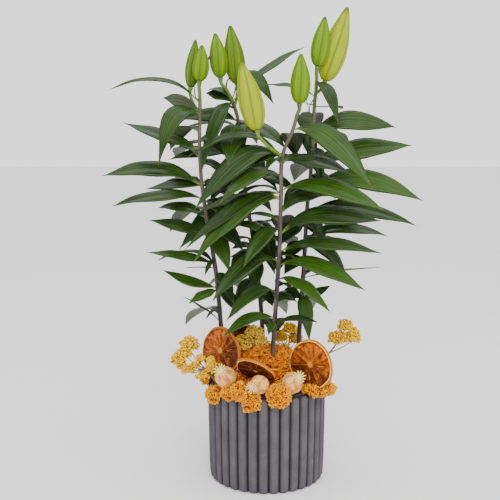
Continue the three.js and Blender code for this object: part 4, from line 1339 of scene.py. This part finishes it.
def poppy_body(row, settings):
    centre, towards, radius = row
    matrix = placed(centre, towards)
    foot = UP * (radius * CROWN_FOOT)
    outward = Vector(towards) + Vector((0, math.copysign(CROWN_LEAN, towards[1]), 0))
    crown = placed(matrix @ foot, outward) @ Matrix.Translation(-foot)
    columns, rows = 60, 36
    rays = settings.rays
    seed = Vector(centre) * 0.05

    def shell(i, j):
        turn = math.tau * i / columns
        along = j / rows * (len(POPPY_PROFILE) - 1)
        k = min(int(along), len(POPPY_PROFILE) - 2)
        height, size = [mixed(a, b, along - k) for a, b in zip(POPPY_PROFILE[k], POPPY_PROFILE[k + 1])]
        rib = 1 + 0.012 * math.cos(rays * turn) * eased(size * 1.6)
        dent = 1 + 0.03 * noise.noise(polar(1, turn, height) * 1.3 + seed)
        return matrix @ polar(radius * size * rib * dent, turn, radius * height)

    def ray(turn, length):
        """One ray of the crown: a narrow rounded bar that widens outwards and lifts a little at its end."""
        along = polar(1, turn)
        side = Vector((-along.y, along.x, 0))

        def place(i, j):
            angle, share = math.tau * i / 8, j / 8
            width = radius * mixed(0.035, 0.08, share ** 0.8) * math.sin(math.pi * share) ** 0.35
            reach = radius * length * mixed(0.05, 1, share)
            lift = radius * (CROWN_FOOT + 0.03 + 0.1 * share ** 2) + 0.6 * width * math.sin(angle)
            return crown @ (along * reach + side * (width * math.cos(angle)) + UP * lift)
        return place

    def add_rod(frame_matrix, levels, sizes, sides, material):
        points = [frame_matrix @ (UP * (radius * level)) for level in levels]
        add_tube(body, points, [radius * size for size in sizes], sides, material)

    body = new_body()
    add_grid(body, columns, rows, shell)
    draw = random.Random(int(10 * centre[0]) + 900)
    for k in range(rays):
        turn = math.tau * k / rays + draw.uniform(-0.07, 0.07)
        add_grid(body, 8, 8, ray(turn, CROWN_SHARE * draw.uniform(0.92, 1.04)), materials=(1, 1))
    hub = (CROWN_FOOT - 0.14, CROWN_FOOT + 0.02, CROWN_FOOT + 0.08)
    add_rod(crown, hub, (0.26, 0.22, 0.12), 20, 1)
    add_rod(matrix, (-1.1, -1.16, -1.22), (0.2, 0.17, 0.16), 12, 0)
    return body


def floret_shapes(draw, columns, rows, roughness):
    """A few small round flowers with a lobed edge."""
    shapes = []
    for _ in range(5):
        seed = Vector((draw.random() * 9, draw.random() * 9, 0))

        def place(i, j):
            turn, down = math.tau * i / columns, math.pi * j / rows
            lobe = 1 + 0.16 * math.cos(3 * turn) * math.sin(down)
            point = polar(lobe * math.sin(down), turn, math.cos(down))
            return point * (1 + roughness * noise.noise(point * 1.7 + seed))

        shape = new_body()
        add_grid(shape, columns, rows, place)
        shapes.append(small_shape(shape))
    return shapes


def ball_points(count):
    """Points spread evenly over a ball."""
    golden = math.pi * (3 - math.sqrt(5))
    for k in range(count):
        z = 1 - 2 * (k + 0.5) / count
        yield polar(math.sqrt(1 - z * z), golden * k, z)


def ellipsoid_places(centre, half, radius, cover, draw):
    """Where small flowers of a radius sit on a rounded head, and which way they face."""
    pairs = [(half[0] * half[1]) ** 1.6, (half[0] * half[2]) ** 1.6, (half[1] * half[2]) ** 1.6]
    area = 4 * math.pi * (sum(pairs) / 3) ** (1 / 1.6)
    for point in ball_points(int(cover * area / (math.pi * radius ** 2))):
        point = (point + Vector([draw.gauss(0, 0.035) for _ in range(3)])).normalized()
        spot = Vector([centre[c] + point[c] * (half[c] - radius * 0.6) for c in range(3)])
        outward = Vector([point[c] / half[c] for c in range(3)]).normalized()
        yield spot, outward


def yarrow_body(centre, half, settings):
    draw = random.Random(int(centre[0] * 10) + 1000)
    radius = settings.floret / MM
    shapes = floret_shapes(draw, 6, 4, 0.4)
    places = []
    for spot, outward in ellipsoid_places(centre, half, radius, YARROW_COVER, draw):
        lumps = noise.noise(spot * 0.22) + 0.5 * noise.noise(spot * 0.7)
        if lumps < BARE_HOLLOW:
            continue
        spot = spot + outward * (3.0 * lumps + draw.uniform(-0.8, 0.7))
        wall = crest_radius(min(spot.z, POT_HEIGHT)) + 0.4
        if (spot.z < POT_HEIGHT and off_axis(spot) < wall) or inside_fruit(spot, 0.2):
            continue
        size = radius * draw.uniform(0.7, 1.3)
        # Florets that stand out are lighter and those sunk in hollows darker, as painted shade, with a random tone
        # on top
        tone = clamped(0.55 + 1.0 * lumps + draw.gauss(0, 0.25))
        matrix = placed(spot, outward) @ spun(draw) @ Matrix.Diagonal((size, size, size * 1.2, 1))
        places.append((matrix, tone))
    body = new_body()
    add_copies(body, shapes, places)
    # A dark ball inside the head, in shade colours: painted shade seen through the gaps between the florets
    columns, rows = 20, 12

    def shade_core(i, j):
        down = math.pi * j / rows
        point = polar(math.sin(down), math.tau * i / columns, math.cos(down))
        spot = Vector([centre[c] + point[c] * (half[c] - radius * 1.6) for c in range(3)])
        ring = off_axis(spot)
        if spot.z < POT_HEIGHT and ring < CORE_WALL:
            spot.x *= CORE_WALL / ring
            spot.y *= CORE_WALL / ring
        return spot

    add_grid(body, columns, rows, shade_core, 0.0, (1, 1))
    return body


def rod_shape():
    """A stalk of unit length and radius, for copying."""
    shape = new_body()
    add_tube(shape, [Vector((0, 0, 0)), UP], [1, 1], 4)
    return small_shape(shape)


def rod_place(start, end, radius):
    along = end - start
    return placed(start, along) @ Matrix.Diagonal((radius, radius, along.length, 1))


def add_branch(body, start, end, sag, shares, radii, sides):
    """A thin branch of a spray that hangs a little between its ends."""
    points = [start.lerp(end, t) + UP * -sag * math.sin(math.pi * t) for t in shares]
    add_tube(body, points, radii, sides, material=1)


def spray_body(row, settings, painted_light_lift):
    foot, fork, heads = Vector(row[0]), Vector(row[1]), row[2]
    draw = random.Random(int(foot.x * 10) + 4000)
    radius = settings.flower / MM
    flowers = floret_shapes(draw, 7, 4, 0.2)
    blooms, stalks = [], []
    body = new_body()
    add_branch(body, foot, fork, 3, (0, 0.25, 0.5, 0.75, 1), [1.1, 1.05, 1.0, 0.95, 0.85], 8)
    split = foot.lerp(fork, SPRAY_SPLIT)
    for centre, half in heads:
        centre = Vector(centre)
        hub = centre - UP * (half[2] * 0.45) + (split - centre).normalized() * 2
        add_branch(body, split, hub, 1.5, (0, 0.34, 0.67, 1), [0.8, 0.7, 0.6, 0.5], 6)
        for spot, outward in ellipsoid_places(centre, half, radius, SPRAY_COVER, draw):
            if outward.z < -0.6:
                continue
            spot = spot + outward * (draw.uniform(-3.2, 1.0) + 1.8 * noise.noise(spot * 0.35))
            size = radius * draw.uniform(0.6, 1.15)
            matrix = placed(spot, outward + UP * 0.4) @ Matrix.Diagonal((size, size, size * 0.85, 1))
            blooms.append((matrix, draw.random() + painted_light_lift))
            stalks.append((rod_place(hub.lerp(spot, 0.06), spot - outward * size * 0.5, THREAD_RADIUS), 0.5))
    add_copies(body, flowers, blooms)
    before = len(body.faces)
    add_copies(body, [rod_shape()], stalks)
    body.faces.ensure_lookup_table()
    for face in body.faces[before:]:
        face.material_index = 1
    return body


# Operators


class LILY_OT_pot(bpy.types.Operator):
    """Casts the fluted pot"""
    bl_idname = "lily.pot"
    bl_label = "Pot"

    def execute(self, context):
        settings = context.scene.lily_pot
        finished("fluted_pot", pot_body(settings), [concrete_look(settings)], "pot")
        return {"FINISHED"}


class LILY_OT_soil(bpy.types.Operator):
    """Finishes the soil under the moss"""
    bl_idname = "lily.soil"
    bl_label = "Soil"

    def execute(self, context):
        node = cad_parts["soil"]
        node.data.materials.clear()
        node.data.materials.append(soil_look())
        return {"FINISHED"}


class LILY_OT_moss(bpy.types.Operator):
    """Lays the moss and its curled strands"""
    bl_idname = "lily.moss"
    bl_label = "Moss"

    def execute(self, context):
        settings = context.scene.lily_moss
        strand, bed = moss_looks(settings)
        finished("moss_bed", moss_bed(), [bed], "moss")
        finished("moss_strands", moss_strands(settings), [strand], None)
        return {"FINISHED"}


class LILY_OT_stems(bpy.types.Operator):
    """Grows the four leafy stems"""
    bl_idname = "lily.stems"
    bl_label = "Stems and leaves"

    def execute(self, context):
        settings = context.scene.lily_foliage
        stalk = ("flower_stalk", 0.45, 0.4, (500, 500, 60), tint(84, 112, 20), tint(122, 146, 40), True)
        shoot = ("withered_shoot", 0.7, 0.3, (400, 400, 90), tint(38, 36, 24), tint(92, 96, 58))
        materials = [*leaf_looks(settings), bark_look(), stalk_look(*stalk), stalk_look(*shoot)]
        for name in STEMS:
            finished("lily_" + name, lily_body(name, settings), materials, "lily_stem_" + name)
        return {"FINISHED"}


class LILY_OT_buds(bpy.types.Operator):
    """Grows the closed buds"""
    bl_idname = "lily.buds"
    bl_label = "Buds"

    def execute(self, context):
        settings = context.scene.lily_buds
        material = bud_look(settings)
        for node, row in BUDS.items():
            finished("closed_" + node, bud_body(row, settings), [material], node)
        return {"FINISHED"}


class LILY_OT_fruit(bpy.types.Operator):
    """Dries the orange slices"""
    bl_idname = "lily.fruit"
    bl_label = "Orange slices"

    def execute(self, context):
        settings = context.scene.lily_fruit
        for node, row in SLICES.items():
            material = fruit_look("dried_" + node, settings, *row[5:])
            finished("dried_" + node, fruit_body(row, settings), [material], node)
        return {"FINISHED"}


class LILY_OT_poppies(bpy.types.Operator):
    """Sets the poppy seed heads"""
    bl_idname = "lily.poppies"
    bl_label = "Poppy heads"

    def execute(self, context):
        settings = context.scene.lily_poppies
        materials = list(poppy_looks(settings))
        for node, row in POPPIES.items():
            finished("dry_" + node, poppy_body(row, settings), materials, node)
        return {"FINISHED"}


class LILY_OT_yarrow(bpy.types.Operator):
    """Sets the orange yarrow heads along the rim"""
    bl_idname = "lily.yarrow"
    bl_label = "Yarrow"

    def execute(self, context):
        settings = context.scene.lily_yarrow
        florets = bloom_look("yarrow_florets", settings.bright, settings.deep, settings.shade, 900)
        # The core material is painted shade inside the heads
        shade_core = bloom_look("yarrow_shade_core", settings.shade, settings.shade, tint(70, 36, 6), 700)
        for node, (centre, half) in YARROWS.items():
            finished("dyed_" + node, yarrow_body(centre, half, settings), [florets, shade_core], node)
        return {"FINISHED"}


class LILY_OT_sprays(bpy.types.Operator):
    """Sets the sprays of small yellow flowers"""
    bl_idname = "lily.sprays"
    bl_label = "Yellow sprays"

    def execute(self, context):
        settings = context.scene.lily_sprays
        # shade is painted shade between the flowers, and pale is painted light on the middle spray
        shade, pale = tint(140, 92, 22), tint(255, 216, 120)
        flowers = bloom_look("everlasting_flowers", settings.bright, settings.deep, shade, 1100, pale)
        stalks = stalk_look("dry_stalk", 0.8, 0.3, (600, 600, 90), settings.stalk, tint(104, 92, 66))
        for node, row in SPRAYS.items():
            # The middle spray is painted paler, as painted light
            painted_light_lift = 1.0 if node == "yellow_spray_middle" else 0.0
            finished("dry_" + node, spray_body(row, settings, painted_light_lift), [flowers, stalks], node)
        return {"FINISHED"}


class LILY_OT_stage(bpy.types.Operator):
    """Sets the pale floor, the soft lights and the camera"""
    bl_idname = "lily.stage"
    bl_label = "Stage"

    def execute(self, context):
        settings = context.scene.lily_stage
        look = Look("stage_floor", 0.9, 0.2, settings.floor)
        look.coat(look.grain(look.spot(), 3, 2), (0.9, 0.9, 0.9, 1))
        body = bmesh.new()
        bmesh.ops.create_grid(body, x_segments=1, y_segments=1, size=12)
        mesh = mesh_from("floor", body)
        mesh.materials.append(look.done())
        floor = shown("floor", mesh)
        floor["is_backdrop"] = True

        world = bpy.data.worlds.new("white_surround")
        world.use_nodes = True
        background = world.node_tree.nodes["Background"]
        background.inputs["Color"].default_value = (1, 1, 1, 1)
        sky = Tree(world.node_tree)
        rise = sky.parts(sky.spot("Generated"))[2]
        light = sky.sum("MULTIPLY_ADD", sky.span(rise, 0.25, 0.85), settings.top, settings.even)
        light = sky.sum("MULTIPLY_ADD", sky.span(rise, 0.3, 0.16), settings.low, light)
        sky.put(light, background.inputs["Strength"])
        context.scene.world = world

        self.area_light("key_light", KEY_PLACE, KEY_SIZE, settings.key)
        self.area_light("fill_light", FILL_PLACE, FILL_SIZE, settings.fill)

        lens = bpy.data.cameras.new("camera")
        lens.lens = CAMERA_LENS
        lens.sensor_width = 36
        camera = shown("camera", lens)
        camera.location = CAMERA_PLACE
        camera.rotation_euler = (math.radians(90 - CAMERA_PITCH), 0, 0)
        context.scene.camera = camera
        return {"FINISHED"}

    def area_light(self, name, place, size, power):
        light = bpy.data.lights.new(name, "AREA")
        light.size = size
        light.energy = power
        lamp = shown(name, light)
        lamp.location = place
        lamp.rotation_euler = (Vector(LIT_POINT) - Vector(place)).to_track_quat("-Z", "Y").to_euler()


STEPS = [  # operator, the name of its settings and their class
    (LILY_OT_pot, "lily_pot", PotSettings),
    (LILY_OT_soil, None, None),
    (LILY_OT_moss, "lily_moss", MossSettings),
    (LILY_OT_stems, "lily_foliage", FoliageSettings),
    (LILY_OT_buds, "lily_buds", BudSettings),
    (LILY_OT_fruit, "lily_fruit", FruitSettings),
    (LILY_OT_poppies, "lily_poppies", PoppySettings),
    (LILY_OT_yarrow, "lily_yarrow", YarrowSettings),
    (LILY_OT_sprays, "lily_sprays", SpraySettings),
    (LILY_OT_stage, "lily_stage", StageSettings),
]


class LILY_PT_panel(bpy.types.Panel):
    """Lists the lily's pieces with their sizes and colours"""
    bl_idname = "LILY_PT_panel"
    bl_label = "Potted lily"
    bl_space_type = "VIEW_3D"
    bl_region_type = "UI"
    bl_category = "Potted lily"

    def draw(self, context):
        for step, name, group in STEPS:
            box = self.layout.box()
            box.operator(step.bl_idname)
            for key in group.__annotations__ if group else ():
                box.prop(getattr(context.scene, name), key)


def register():
    for step, name, group in STEPS:
        if group:
            bpy.utils.register_class(group)
            setattr(bpy.types.Scene, name, bpy.props.PointerProperty(type=group))
        bpy.utils.register_class(step)
    bpy.utils.register_class(LILY_PT_panel)


def unregister():
    bpy.utils.unregister_class(LILY_PT_panel)
    for step, name, group in reversed(STEPS):
        bpy.utils.unregister_class(step)
        if group:
            delattr(bpy.types.Scene, name)
            bpy.utils.unregister_class(group)


def main():
    register()
    bpy.ops.lily.pot()
    bpy.ops.lily.soil()
    bpy.ops.lily.moss()
    bpy.ops.lily.stems()
    bpy.ops.lily.buds()
    bpy.ops.lily.fruit()
    bpy.ops.lily.poppies()
    bpy.ops.lily.yarrow()
    bpy.ops.lily.sprays()
    bpy.ops.lily.stage()
    sizes = {name: [list(corner) for corner in box] for name, box in (("cad", CAD_BOX), ("visual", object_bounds()))}


if __name__ == "__main__":
    main()
